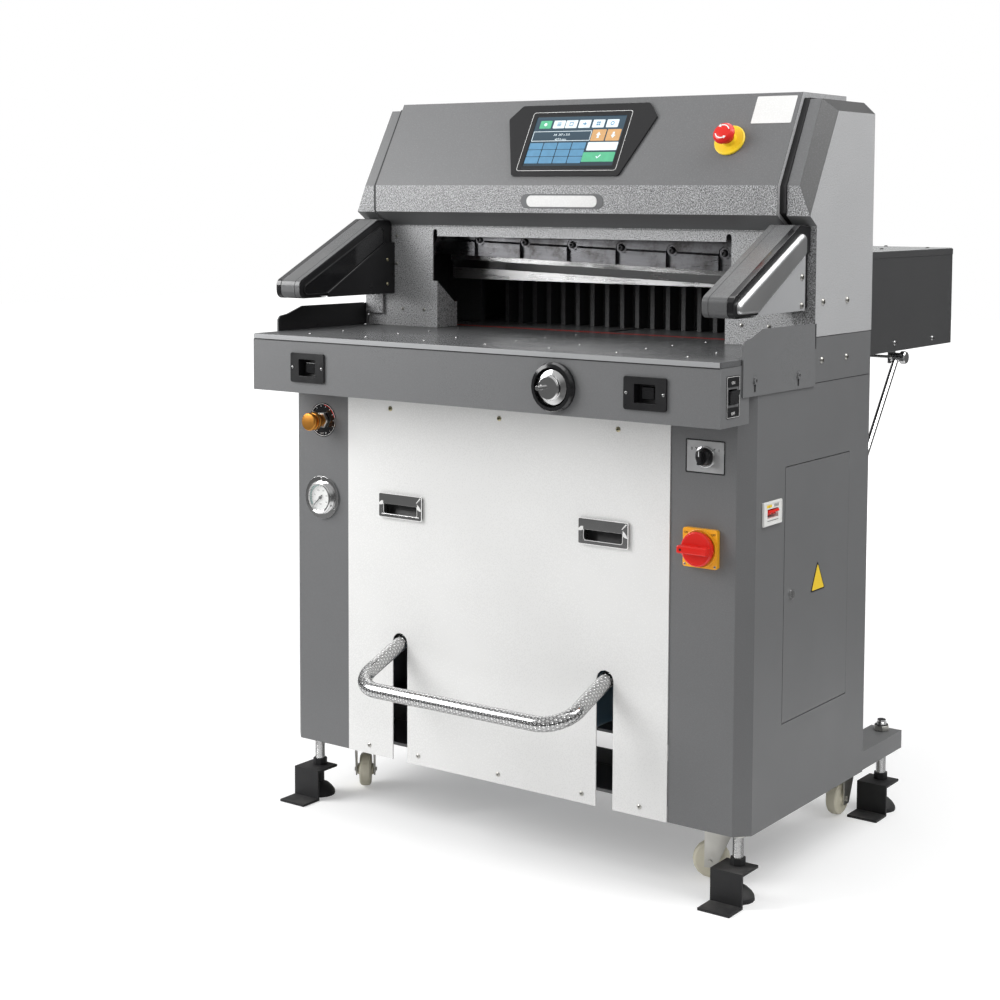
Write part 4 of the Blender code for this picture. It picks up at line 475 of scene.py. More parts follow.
def powder(name, colour, fleck=0.05, grain=900.0, roughness=0.42, depth=0.00005, wear=0.25, dust=0.06,
           bare=(0.42, 0.43, 0.44, 1), peel=0.45, coat=0.0, by_face=None):
    """A powder coat; by_face gives it another colour and fleck on some of its faces."""
    tree, shader = new_finish(name, Metallic=0.0, Specular_IOR_Level=0.5, Coat_Weight=coat, Coat_Roughness=0.2)
    feeds = {"Colour": colour_of(colour), "Fleck": fleck, "Grain": grain, "Roughness": roughness, "Peel": peel}
    if by_face:
        feeds["Colour"], feeds["Fleck"] = by_face(tree, feeds["Colour"], fleck)
    skin = use_group(tree, "powder_skin", feeds)
    edge, film = rubbed_edges(tree, 0.0012, wear), dusty(tree, dust)
    worn = tint(tree, edge, skin["Colour"], bare)
    tree.links.new(tint(tree, film, worn, (0.5, 0.49, 0.46, 1)), shader.inputs["Base Color"])
    rubbed = minus(tree, skin["Roughness"], times(tree, edge, 0.12))
    tree.links.new(plus(tree, rubbed, times(tree, film, 0.3)), shader.inputs["Roughness"])
    lean_on(tree, shader, skin["Height"], 0.35, depth)


def moulded(name, colour, roughness, coat=0.0, dust=0.05, wear=0.12):
    """A moulded plastic or rubber with its fine spark texture."""
    tree, shader = new_finish(name, Metallic=0.0, Specular_IOR_Level=0.5, Coat_Weight=coat, Coat_Roughness=0.08)
    spark = cloud(tree, spots(tree), 2200.0)
    edge, film = rubbed_edges(tree, 0.0008, wear), dusty(tree, dust)
    pale = tuple(min(1.0, value * 1.5 + 0.03) for value in colour[:3])
    worn = tint(tree, edge, colour_of(colour), colour_of(pale))
    drift = tint(tree, span(tree, cloud(tree, spots(tree), 14.0, 3.0), 0.3, 0.7, 0.0, 0.12), worn,
                 colour_of(colour, 0.7))
    tree.links.new(tint(tree, film, drift, (0.45, 0.44, 0.42, 1)), shader.inputs["Base Color"])
    smudged(tree, shader, 26.0, roughness - 0.05, roughness + 0.07)
    lean_on(tree, shader, spark, 0.4, 0.00003)


def bright(name, colour, roughness=0.07, spread=0.06, dust=0.02):
    """A plated or polished metal with smudges and a slight ripple under the plating."""
    tree, shader = new_finish(name, Metallic=1.0)
    drift = cloud(tree, spots(tree), 17.0, 4.0)
    film = dusty(tree, dust)
    shade = tint(tree, span(tree, drift, 0.3, 0.7, 0.0, 0.25), colour_of(colour), colour_of(colour, 0.78))
    tree.links.new(tint(tree, film, shade, (0.5, 0.5, 0.48, 1)), shader.inputs["Base Color"])
    smudged(tree, shader, 21.0, roughness, roughness + spread)
    lean_on(tree, shader, cloud(tree, spots(tree), 130.0), 0.25, 0.00002)


def ground(name, colour, stretched, roughness, oil=0.0):
    """A ground or brushed metal; oil darkens it in patches."""
    tree, shader = new_finish(name, Metallic=1.0)
    lines = use_group(tree, "brushed_lines", {"Stretch": stretched, "Roughness": roughness})
    streak = times(tree, lines["Shade"], 0.3)
    shade = tint(tree, streak, colour_of(colour), colour_of(colour, 0.6))
    patch = span(tree, cloud(tree, spots(tree), 24.0, 5.0, 0.7), 0.45, 0.75, 0.0, oil)
    tree.links.new(tint(tree, patch, shade, (0.05, 0.045, 0.04, 1)), shader.inputs["Base Color"])
    tree.links.new(lines["Roughness"], shader.inputs["Roughness"])
    lean_on(tree, shader, lines["Height"], 0.5, 0.00002)


def shade_prop(name, description, default):
    return bpy.props.FloatVectorProperty(
        name=name, description=description, default=default, size=3, min=0.0, max=1.0, subtype='COLOR'
    )


def size_prop(name, description, default):
    return bpy.props.FloatProperty(name=name, description=description, default=default, min=0.0, unit='LENGTH')


def power_prop(name, description, default):
    return bpy.props.FloatProperty(name=name, description=description, default=default, min=0.0, unit='POWER')


class CutterColours(bpy.types.PropertyGroup):
    """Colours of the main finishes."""
    cabinet: shade_prop("Cabinet", "Satin powder coat of the cabinet, table front and hood", (0.150, 0.152, 0.155))
    strip: shade_prop("Speckled coat", "Speckled coat of the strip under the hood and of the body face",
                      (0.290, 0.292, 0.296))
    table: shade_prop("Table", "Satin coat of the front and rear tables", (0.105, 0.107, 0.110))
    panel: shade_prop("Front panel", "White coat of the removable front panel", (0.79, 0.79, 0.78))
    inside: shade_prop("Inside", "Dark paint of the frame and the castings", (0.035, 0.036, 0.038))
    black: shade_prop("Black plastic", "Moulded black of bezels, knobs and pads", (0.012, 0.012, 0.013))
    chrome: shade_prop("Chrome", "Plated treadle, handles and struts", (0.80, 0.80, 0.80))
    gold: shade_prop("Anodised knob", "Orange anodised pressure knob", (0.82, 0.36, 0.07))
    red: shade_prop("Red plastic", "Emergency stop cap, switch handle and toggles", (0.72, 0.018, 0.012))
    yellow: shade_prop("Yellow plastic", "Switch plate and emergency stop base", (0.92, 0.42, 0.015))
    nylon: shade_prop("Caster nylon", "Cream nylon of the caster wheels", (0.74, 0.70, 0.56))
    zinc: shade_prop("Zinc plating", "Plated forks, brackets and screws", (0.62, 0.61, 0.57))
    glow: shade_prop("Screen", "Backlight colour of the touch screen", (0.035, 0.075, 0.11))


class CutterSizes(bpy.types.PropertyGroup):
    """Sizes of the screws, of the air nozzles and of the rounded edges."""
    fine_edge: size_prop("Fine edge", "Rounding on the edges of the packed nodes", 0.0004)
    screw: size_prop("Cover screw", "Head radius of the cover screws", 0.0036)
    button_head: size_prop("Button head", "Head radius of the socket screws", 0.0058)
    air_hole: size_prop("Air hole", "Radius of the air ball nozzles in the table", 0.0042)


class CutterStudio(bpy.types.PropertyGroup):
    """Lamps, room light and camera."""
    key_power: power_prop("Key", "Power of the big front lamp", 72.0)
    side_power: power_prop("Side", "Power of the right side lamp", 36.0)
    top_power: power_prop("Top", "Power of the overhead lamp", 40.0)
    sky: bpy.props.FloatProperty(name="Room light", description="Strength of the even light of the room",
                                 default=0.55, min=0.0)
    lens: bpy.props.FloatProperty(name="Lens", description="Focal length of the camera", default=66.1,
                                  min=1.0, unit='CAMERA')


def colours():
    """The settings that the panel shows; sizes() does the same."""
    return bpy.context.scene.cutter_colours


def sizes():
    return bpy.context.scene.cutter_sizes


def cover_faces(tree, colour, fleck):
    """The covers' slopes stay satin, their chamfers go dark, and their upright faces are speckled and made paler:
    painted light on the end covers' sides.
    """
    way = node(tree, 'ShaderNodeSeparateXYZ', {0: node(tree, 'ShaderNodeNewGeometry').outputs["True Normal"]})
    sideways = calc(tree, 'ABSOLUTE', way.outputs[0])
    side = span(tree, sideways, 0.93, 0.97)
    chamfer = minus(tree, span(tree, sideways, 0.2, 0.3), side)
    strip = span(tree, way.outputs[1], -0.96, -0.985)
    shade = colours()
    mixed = tint(tree, strip, colour, colour_of(shade.strip))
    # Painted light: the upright faces take the strip's colour 1.45 times lighter, for the light that falls on the
    # end covers' sides; their speckle is the paint's own.
    mixed = tint(tree, side, mixed, colour_of(shade.strip, 1.45))
    mixed = tint(tree, chamfer, mixed, colour_of(shade.cabinet, 0.26))
    grit = plus(tree, times(tree, strip, 0.85), times(tree, side, 0.22))
    return mixed, plus(tree, grit, fleck)


def screen_glass(name, colour):
    """The lit display behind its glass: a soft blue field, brighter at the top, with fine dots."""
    tree, shader = new_finish(name, Metallic=0.0, Coat_Weight=0.6, Coat_Roughness=0.03, Emission_Strength=1.0)
    place = spots(tree)
    height = node(tree, 'ShaderNodeSeparateXYZ', {0: place}).outputs[2]
    fade = span(tree, height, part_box("touch_screen")[0].z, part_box("touch_screen")[1].z)
    dots = span(tree, cloud(tree, place, 2600.0, 0.0), 0.4, 0.6, 0.92, 1.0)
    field = tint(tree, fade, colour_of(colour, 0.55), colour_of(colour, 1.15))
    tree.links.new(tint(tree, dots, (0, 0, 0, 1), field), shader.inputs["Emission Color"])
    shader.inputs["Base Color"].default_value = (0.01, 0.012, 0.014, 1)
    smudged(tree, shader, 40.0, 0.08, 0.2)


def lit_ink(name, colour):
    """Bright strokes and keys shown on the display."""
    tree, shader = new_finish(name, Metallic=0.0, Emission_Strength=1.0, Roughness=0.3)
    drift = span(tree, cloud(tree, spots(tree), 90.0, 2.0), 0.3, 0.7)
    tree.links.new(tint(tree, drift, colour_of(colour, 0.85), colour_of(colour)), shader.inputs["Emission Color"])
    shader.inputs["Base Color"].default_value = colour_of(colour, 0.3)


def clear(name):
    """A clear cover with fine handling marks."""
    tree, shader = new_finish(name, Metallic=0.0, Alpha=0.14)
    shader.inputs["Base Color"].default_value = (0.95, 0.97, 0.97, 1)
    smudged(tree, shader, 30.0, 0.01, 0.07)


def dimpled_chrome(name, colour):
    """Chrome with rows of pressed dimples, laid along and round the bar by its UV layer in metres."""
    tree, shader = new_finish(name, Metallic=1.0)
    place = node(tree, 'ShaderNodeSeparateXYZ', {0: spots(tree, 'UV')})
    along, round_it = place.outputs[0], place.outputs[1]
    row = times(tree, along, 1 / 0.0062)
    odd = times(tree, calc(tree, 'FLOORED_MODULO', calc(tree, 'FLOOR', row), 2.0), 0.5)
    column = plus(tree, times(tree, round_it, 1 / 0.00707), odd)
    a = minus(tree, calc(tree, 'FRACT', row), 0.5)
    b = minus(tree, calc(tree, 'FRACT', column), 0.5)
    reach = calc(tree, 'SQRT', plus(tree, times(tree, a, a), times(tree, b, b)))
    dimple = span(tree, reach, 0.24, 0.38)
    # Painted reflection: the chrome between the dimples is painted at 0.55 of its colour and the dimples stay
    # bright, for the light ovals that the dimples reflect.
    shade = tint(tree, dimple, colour_of(colour), colour_of(colour, 0.55))
    tree.links.new(shade, shader.inputs["Base Color"])
    smudged(tree, shader, 24.0, 0.07, 0.16)
    lean_on(tree, shader, dimple, 0.8, 0.0014)


class CUTTER_OT_finishes(bpy.types.Operator):
    """Make every finish of the machine and its shader groups."""
    bl_idname = "cutter.finishes"
    bl_label = "Finishes"

    def execute(self, context):
        for build in (group_powder, group_edge_wear, group_dust, group_brushed, group_smudges):
            build()
        shade = colours()
        # Painted light: the apron coat is the cabinet coat made 1.08 times lighter. The pale coat is the gussets'
        # own pale grey, and a painted highlight on the table's front edge.
        for name, share, roughness in (("cabinet_coat", 1.0, 0.40), ("apron_coat", 1.08, 0.36),
                                       ("arm_coat", 0.72, 0.28), ("pale_coat_and_highlight", 2.4, 0.4), ("box_coat", 0.34, 0.38)):
            powder(name, colour_of(shade.cabinet, share), grain=1300.0, roughness=roughness)
        powder("cover_coat", shade.cabinet, grain=520.0, roughness=0.40, by_face=cover_faces)
        # Painted light: the body face has the strip's own speckled paint, made 1.65 times lighter.
        powder("speckled_coat", colour_of(shade.strip, 1.65), fleck=0.9, grain=520.0, depth=0.0001, peel=0.6)
        powder("table_coat", shade.table, fleck=0.06, grain=1500.0, roughness=0.30, wear=0.4, dust=0.03)
        powder("inside_paint", shade.inside, fleck=0.08, grain=700.0, roughness=0.5, depth=0.0001, dust=0.12)
        powder("motor_paint", (0.05, 0.11, 0.16), fleck=0.04, roughness=0.4, dust=0.15)
        for name, colour in (("panel_coat_and_highlight", shade.panel), ("lid_coat", (0.62, 0.63, 0.63)),
                             ("plate_white", (0.79, 0.79, 0.78))):
            powder(name, colour, fleck=0.0, grain=420.0, roughness=0.26, depth=0.00003, wear=0.05, dust=0.02,
                   bare=(0.5, 0.5, 0.5, 1), peel=0.25, coat=0.15)
        moulded("black_plastic", shade.black, 0.32, dust=0.04)
        moulded("black_gloss", shade.black, 0.1, coat=0.4, dust=0.02, wear=0.05)
        moulded("black_rubber_and_shade", shade.black, 0.6, dust=0.2, wear=0.05)
        moulded("grey_plastic", (0.12, 0.122, 0.126), 0.4)
        moulded("red_plastic", shade.red, 0.2, coat=0.2, dust=0.02)
        moulded("yellow_plastic", shade.yellow, 0.3, dust=0.02)
        moulded("lemon_plastic", (0.93, 0.66, 0.03), 0.3, dust=0.02)
        moulded("pale_plastic", (0.78, 0.78, 0.76), 0.34, dust=0.03)
        moulded("stick_plastic", (0.55, 0.03, 0.02), 0.4)
        moulded("caster_nylon", shade.nylon, 0.36, dust=0.12, wear=0.3)
        moulded("sign_yellow", (0.9, 0.62, 0.03), 0.3, dust=0.01, wear=0.0)
        moulded("black_ink_and_shade", (0.015, 0.015, 0.015), 0.45, dust=0.0, wear=0.0)
        moulded("ink_white", (0.85, 0.85, 0.84), 0.4, dust=0.0, wear=0.0)
        moulded("teal_ink", (0.02, 0.30, 0.26), 0.4, dust=0.0, wear=0.0)
        clear("clear_glass")
        bright("chrome", shade.chrome)
        bright("brushed_plate", (0.90, 0.905, 0.91), 0.34)
        bright("silver_cover", (0.90, 0.905, 0.91), 0.34, spread=0.05)
        bright("gold_anodised", shade.gold, 0.34)
        bright("zinc_plate", shade.zinc, 0.3, spread=0.14, dust=0.06)
        bright("steel_screw", (0.55, 0.55, 0.55), 0.25, spread=0.12)
        bright("dark_bolt", (0.16, 0.16, 0.165), 0.3, spread=0.12)
        bright("yellow_zinc", (0.60, 0.55, 0.36), 0.26)
        ground("knife_steel", (0.72, 0.72, 0.72), (30.0, 900.0, 900.0), 0.18)
        ground("clamp_steel", (0.70, 0.70, 0.70), (14.0, 500.0, 500.0), 0.30)
        ground("oiled_steel", (0.20, 0.20, 0.21), (16.0, 260.0, 260.0), 0.34, oil=0.8)
        ground("shaft_steel", (0.6, 0.6, 0.6), (700.0, 20.0, 700.0), 0.22, oil=0.25)
        screen_glass("screen_field", shade.glow)
        lit_ink("lit_white", (0.75, 0.85, 0.9))
        lit_ink("lit_blue", (0.10, 0.26, 0.42))
        lit_ink("lit_green", (0.10, 0.45, 0.25))
        lit_ink("lit_amber", (0.62, 0.36, 0.16))
        dimpled_chrome("treadle_chrome", shade.chrome)
        return {'FINISHED'}


NODE_FINISH = {
    "cabinet_coat": ("column_cover_left", "column_cover_right", "cabinet_door", "base_frame", "rear_panel"),
    "cover_coat": ("hood_cover", "end_cover_left", "end_cover_right"),
    "apron_coat": ("table_apron",),
    "speckled_coat": ("body_face",),
    "table_coat": ("front_table", "rear_table"),
    "box_coat": ("rear_box",),
    "inside_paint": ("side_frames", "backgauge_comb", "guard_arm_left", "guard_arm_right"),
    "motor_paint": ("hydraulic_pack",),
    "panel_coat_and_highlight": ("front_panel",),
    "black_plastic": ("button_bezel_left", "button_bezel_right", "selector_knob", "gauge_needle"),
    "black_gloss": ("cut_button_left", "cut_button_right", "dial_bowl", "rocker", "screen_bezel"),
    "black_rubber_and_shade": ("foot_front_left", "foot_front_right", "foot_rear_left", "foot_rear_right"),
    "red_plastic": ("estop_button", "main_switch_handle", "breaker_toggle"),
    "yellow_plastic": ("main_switch_plate",),
    "lemon_plastic": ("estop_base",),
    "pale_plastic": ("breaker_body",),
    "stick_plastic": ("cutting_stick",),
    "caster_nylon": ("caster_wheel_left", "caster_wheel_right", "rear_wheel_left", "rear_wheel_right"),
    "chrome": ("panel_handle_left", "panel_handle_right", "dial_wheel", "gauge_case", "door_lock", "rear_struts",
               "treadle_bar"),
    "gold_anodised": ("pressure_knob",),
    "zinc_plate": ("caster_fork_left", "caster_fork_right", "rear_caster_forks"),
    "knife_steel": ("knife_blade",),
    "clamp_steel": ("clamp_beam",),
    "oiled_steel": ("knife_carrier",),
    "shaft_steel": ("lead_screw", "knife_pull_rod"),
    "screen_field": ("touch_screen",),
}
NODE_DEG = 24.0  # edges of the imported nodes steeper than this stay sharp
FLAT_DEG = 0.3  # faces nearer to one plane than this are drawn as one
WELD_REACH = 0.00001
SHARP_NODES = ("touch_screen", "screen_bezel", "gauge_needle", "knife_blade")


def soft_shading():
    """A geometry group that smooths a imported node's faces and keeps its true edges sharp."""
    tree = bpy.data.node_groups.new("soft_shading", 'GeometryNodeTree')
    tree.interface.new_socket("Geometry", in_out='INPUT', socket_type='NodeSocketGeometry')
    tree.interface.new_socket("Geometry", in_out='OUTPUT', socket_type='NodeSocketGeometry')
    start, end = tree.nodes.new('NodeGroupInput'), tree.nodes.new('NodeGroupOutput')
    plain = node(tree, 'GeometryNodeRemoveAttribute', {"Geometry": start.outputs[0], "Name": "custom_normal"})
    faces = node(tree, 'GeometryNodeSetShadeSmooth', {"Geometry": plain.outputs[0], "Shade Smooth": True})
    angle = node(tree, 'GeometryNodeInputMeshEdgeAngle').outputs["Unsigned Angle"]
    even = node(tree, 'FunctionNodeCompare', {0: angle, 1: math.radians(NODE_DEG)}, operation='LESS_THAN')
    feeds = {"Geometry": faces.outputs[0], "Shade Smooth": even.outputs[0]}
    edges = node(tree, 'GeometryNodeSetShadeSmooth', feeds, domain='EDGE')
    tree.links.new(edges.outputs[0], end.inputs[0])
    return tree


class CUTTER_OT_nodes(bpy.types.Operator):
    """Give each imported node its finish, rounded edges and smooth shading."""
    bl_idname = "cutter.nodes"
    bl_label = "Packed nodes"

    def execute(self, context):
        shading = soft_shading()
        for look, names in NODE_FINISH.items():
            for name in names:
                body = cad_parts[name]
                for place in body.material_slots:
                    place.material = finish_named(look)
                body.modifiers.new("join", 'WELD').merge_threshold = WELD_REACH
                flat = body.modifiers.new("flat", 'DECIMATE')
                flat.decimate_type, flat.angle_limit = 'DISSOLVE', math.radians(FLAT_DEG)
                if name not in SHARP_NODES:
                    ease = body.modifiers.new("ease", 'BEVEL')
                    ease.limit_method, ease.angle_limit = 'ANGLE', math.radians(NODE_DEG)
                    ease.width, ease.segments = sizes().fine_edge, 2
                body.modifiers.new("shading", 'NODES').node_group = shading
                body.modifiers.new("even", 'WEIGHTED_NORMAL').keep_sharp = True
        missed = set(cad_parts) - {name for names in NODE_FINISH.values() for name in names}
        if missed:
            raise RuntimeError("no finish is given to " + ", ".join(sorted(missed)))
        return {'FINISHED'}


# Places on the machine's faces: a point at the foot of the hood's slope and its direction, as depth and height
SLOPE_FOOT, SLOPE_RUN = (0.1896, 1.1928), (0.4809, 0.8768)
HOOD_OUT = Vector((0, -SLOPE_RUN[1], SLOPE_RUN[0]))


def plane(origin, across, above):
    """A matrix whose own X runs across, whose Y runs above, and whose Z stands out of the face."""
    across, above = Vector(across).normalized(), Vector(above).normalized()
    turn = Matrix((across, above, across.cross(above))).transposed().to_4x4()
    return Matrix.Translation(origin) @ turn


def on_front(x, y, z):
    return plane(at(x, y, z), RIGHT, UP)


def on_side(y, z, x=SIDE):
    return plane(at(x, y, z), (0, 1, 0), UP)


def on_hood(x, z, out=0.0):
    y = SLOPE_FOOT[0] + (z - SLOPE_FOOT[1]) * SLOPE_RUN[0] / SLOPE_RUN[1]
    return plane(at(x, y, z) + HOOD_OUT * out, RIGHT, (0, *SLOPE_RUN))


def tile(form, matrix, outline, low, high):
    """A flat plate drawn on a face: its outline in the face's own two directions."""
    return loft(form, [[matrix @ Vector((a, b, level)) for a, b in outline] for level in (low, high)])


def frame_tile(form, matrix, outer, inner, low, high):
    """A flat ring between two outlines that hold the same number of points."""
    rings = [[form.verts.new(matrix @ Vector((a, b, level))) for a, b in line]
             for line, level in ((outer, low), (outer, high), (inner, high), (inner, low))]
    for near, far in zip(rings, rings[1:] + rings[:1]):
        skin(form, near, far)
    return form


def plate(name, matrix, outline, low, high, look, body="root"):
    """A piece that is one flat plate."""
    piece(name, tile(bmesh.new(), matrix, outline, low, high), look, body)


def rim_plate(name, matrix, outer, inner, low, high, look):
    """A piece that is one flat ring."""
    piece(name, frame_tile(bmesh.new(), matrix, outer, inner, low, high), look)


def pill(half_long, half_high, corner, steps=6):
    """The outline of a plate with round corners, centred on the face."""
    return rounded(rectangle(-half_long, half_long, -half_high, half_high), corner, steps)


def disc(radius, steps=ROUND):
    return [(radius * math.cos(t), radius * math.sin(t)) for t in round_turns(steps)]


def moved(outline, across, above):
    return [(a + across, b + above) for a, b in outline]


def arc_band(inner, outer, first, last):
    """The outline of a band that follows a circle between two angles in degrees."""
    steps = 24
    turns = [math.radians(first + (last - first) * i / steps) for i in range(steps + 1)]
    out = [(outer * math.cos(t), outer * math.sin(t)) for t in turns]
    return out + [(inner * math.cos(t), inner * math.sin(t)) for t in reversed(turns)]


CAP_SHARE, LETTER_DEPTH = 0.7, 0.0002  # the height of a capital as a share of the type's size, and its relief


def letters(form, matrix, place, text, high):
    """Raised letters centred on a place of the matrix; high is their cap height."""
    curve = bpy.data.curves.new("letters", 'FONT')
    curve.body, curve.align_x, curve.align_y = text, 'CENTER', 'CENTER'
    curve.size, curve.extrude, curve.resolution_u = high / CAP_SHARE, LETTER_DEPTH / 2, 3
    made = bpy.data.objects.new("letters", curve)
    bpy.context.scene.collection.objects.link(made)
    bpy.context.view_layer.update()
    flat = bmesh.new()
    flat.from_mesh(made.to_mesh())
    made.to_mesh_clear()
    bpy.data.objects.remove(made)
    bmesh.ops.remove_doubles(flat, verts=flat.verts, dist=0.000001)
    flat.transform(matrix @ Matrix.Translation(place))
    mesh = bpy.data.meshes.new("letters")
    flat.to_mesh(mesh)
    flat.free()
    form.from_mesh(mesh)
    bpy.data.meshes.remove(mesh)
    return form


# Screws, drawn for a head radius of one
def turned(profile, steps):
    return lathe(bmesh.new(), profile, Vector(), UP, steps)


def cross_arms(half_thick, half_long, top):
    """The two bars of a cross recess, from its floor up to a level."""
    return [block(bmesh.new(), (-a, -b - FRONT, 0.2), (a, b - FRONT, top))
            for a, b in ((half_thick, half_long), (half_long, half_thick))]


def cross_screw():
    head = turned(((0, 0.56), (0.3, 0.54), (0.62, 0.45), (0.86, 0.28), (1, 0.08), (1, -0.2), (0, -0.2)), 32)
    return mesh_of(carve(head, *cross_arms(0.13, 0.55, 1)), "cross_screw")


def cross_pit():
    return mesh_of(carve(*cross_arms(0.12, 0.54, 0.24), way='UNION'), "cross_pit")


def socket_screw():
    head = turned(((0, 0.55), (0.55, 0.52), (0.82, 0.36), (0.97, 0.12), (1, 0), (1, -0.2), (0, -0.2)), 32)
    return mesh_of(carve(head, turned(((0, 1), (0.52, 1), (0.46, 0.1), (0, 0.1)), 6)), "socket_screw")


def socket_pit():
    return mesh_of(turned(((0, 0.14), (0.45, 0.14), (0.45, 0.1), (0, 0.1)), 6), "socket_pit")


SCREW_KINDS = {"cross": (cross_screw, cross_pit), "socket": (socket_screw, socket_pit)}
SCREW_FORMS = {}


def screws(name, kind, radius, look, rows, body="root"):
    """A piece of like screw heads and a piece of black painted shade on the floors of their recesses; each row is a
    point, the way it faces, and its turn in degrees."""
    if kind not in SCREW_FORMS:
        SCREW_FORMS[kind] = [make() for make in SCREW_KINDS[kind]]
    # The second piece is painted shade: black sheets on the floors of the recesses.
    for form_mesh, label, finish in zip(SCREW_FORMS[kind], ("", "_pit_shade"), (look, "black_ink_and_shade")):
        form = bmesh.new()
        for point, axis, turn in rows:
            stamp(form, form_mesh, facing(point, axis, math.radians(turn)) @ Matrix.Scale(radius, 4))
        piece(name + label, form, finish, body, degrees=NODE_DEG)


def mirror_rows(rows):
    """The rows and their mirror images on the other side of the machine."""
    made = list(rows)
    for point, axis, turn in rows:
        made.append((Vector((-point[0], point[1], point[2])), Vector((-axis[0], axis[1], axis[2])), -turn))
    return made


class CUTTER_OT_screws(bpy.types.Operator):
    """Place the cover screws, the panel screws and the air nozzles of the table."""
    bl_idname = "cutter.screws"
    bl_label = "Screws and air nozzles"

    def execute(self, context):
        small, big = sizes().screw, sizes().button_head
        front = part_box("front_panel")[0].y - FRONT - SEAT
        apron_foot, body_face, box_side = 0.8088, 0.2315, 0.44
        rows = [(at(x, front, 0.780), FORWARD, turn) for x, turn in ((-0.249, 12), (0, 40), (0.249, 71))]
        screws("panel_screws_top", "cross", big * 0.8, "yellow_zinc", rows)
        rows = [(at(x, front, 0.137), FORWARD, turn)
                for x, turn in ((-0.3005, 8), (-0.183, 33), (0, 60), (0.18, 20), (0.298, 77))]
        screws("panel_screws_low", "cross", big * 0.75, "zinc_plate", rows)
        rows = [(at(x, -0.05, apron_foot - SEAT), -UP, 15) for x in (-0.32, 0.0, 0.355)]
        screws("apron_screws", "cross", small, "yellow_zinc", rows)
        side = [(at(SIDE + SEAT, y, z), RIGHT, turn) for y, z, turn in
                ((0.253, 0.8936, 10), (0.3496, 0.8932, 35), (0.2539, 0.9941, 55), (0.349, 0.9934, 80))]
        screws("side_screws", "socket", big, "zinc_plate", mirror_rows(side))
        face = [(at(x, body_face - SEAT, z), FORWARD, turn) for x, z, turn in
                ((0.4244, 1.0929, 5), (0.4244, 1.0379, 50), (0.409, 0.9485, 22), (0.355, 0.9485, 66))]
        screws("face_screws", "cross", small, "zinc_plate", mirror_rows(face))
        self.nozzles()
        box = [(at(box_side + SEAT, y, z), RIGHT, turn) for y, z, turn in ((0.691, 0.893, 0), (0.873, 0.892, 40))]
        screws("box_side_screws", "socket", 0.0052, "steel_screw", mirror_rows(box))
        return {'FINISHED'}

    def nozzles(self):
        """Black rings with a steel ball, let into the table for the air cushion."""
        table_top = 0.914
        spots_xy = [(x, y) for x in (0.0, 0.136, 0.272, 0.408, -0.136, -0.272, -0.408) for y in (-0.045, 0.049)]
        spots_xy += [(0.27, 0.14), (-0.27, 0.14), (0.2785, 0.2424), (-0.2785, 0.2424), (0.0, 0.14), (0.0, 0.2424)]
        radius = sizes().air_hole
        collar = ((radius, 0.0001), (radius, 0.0004), (radius * 0.60, 0.0005), (radius * 0.55, 0.0001),
                  (radius, 0.0001))
        dome = ((radius * 0.52, 0.0001), (radius * 0.46, 0.0009), (radius * 0.26, 0.0016), (0, 0.0018))
        ring, ball = bmesh.new(), bmesh.new()
        for x, y in spots_xy:
            lathe(ring, collar, at(x, y, table_top), UP, 24)
            lathe(ball, dome, at(x, y, table_top), UP, 24)
        piece("air_nozzle_rings", ring, "black_plastic")
        piece("air_nozzle_balls", ball, "chrome")


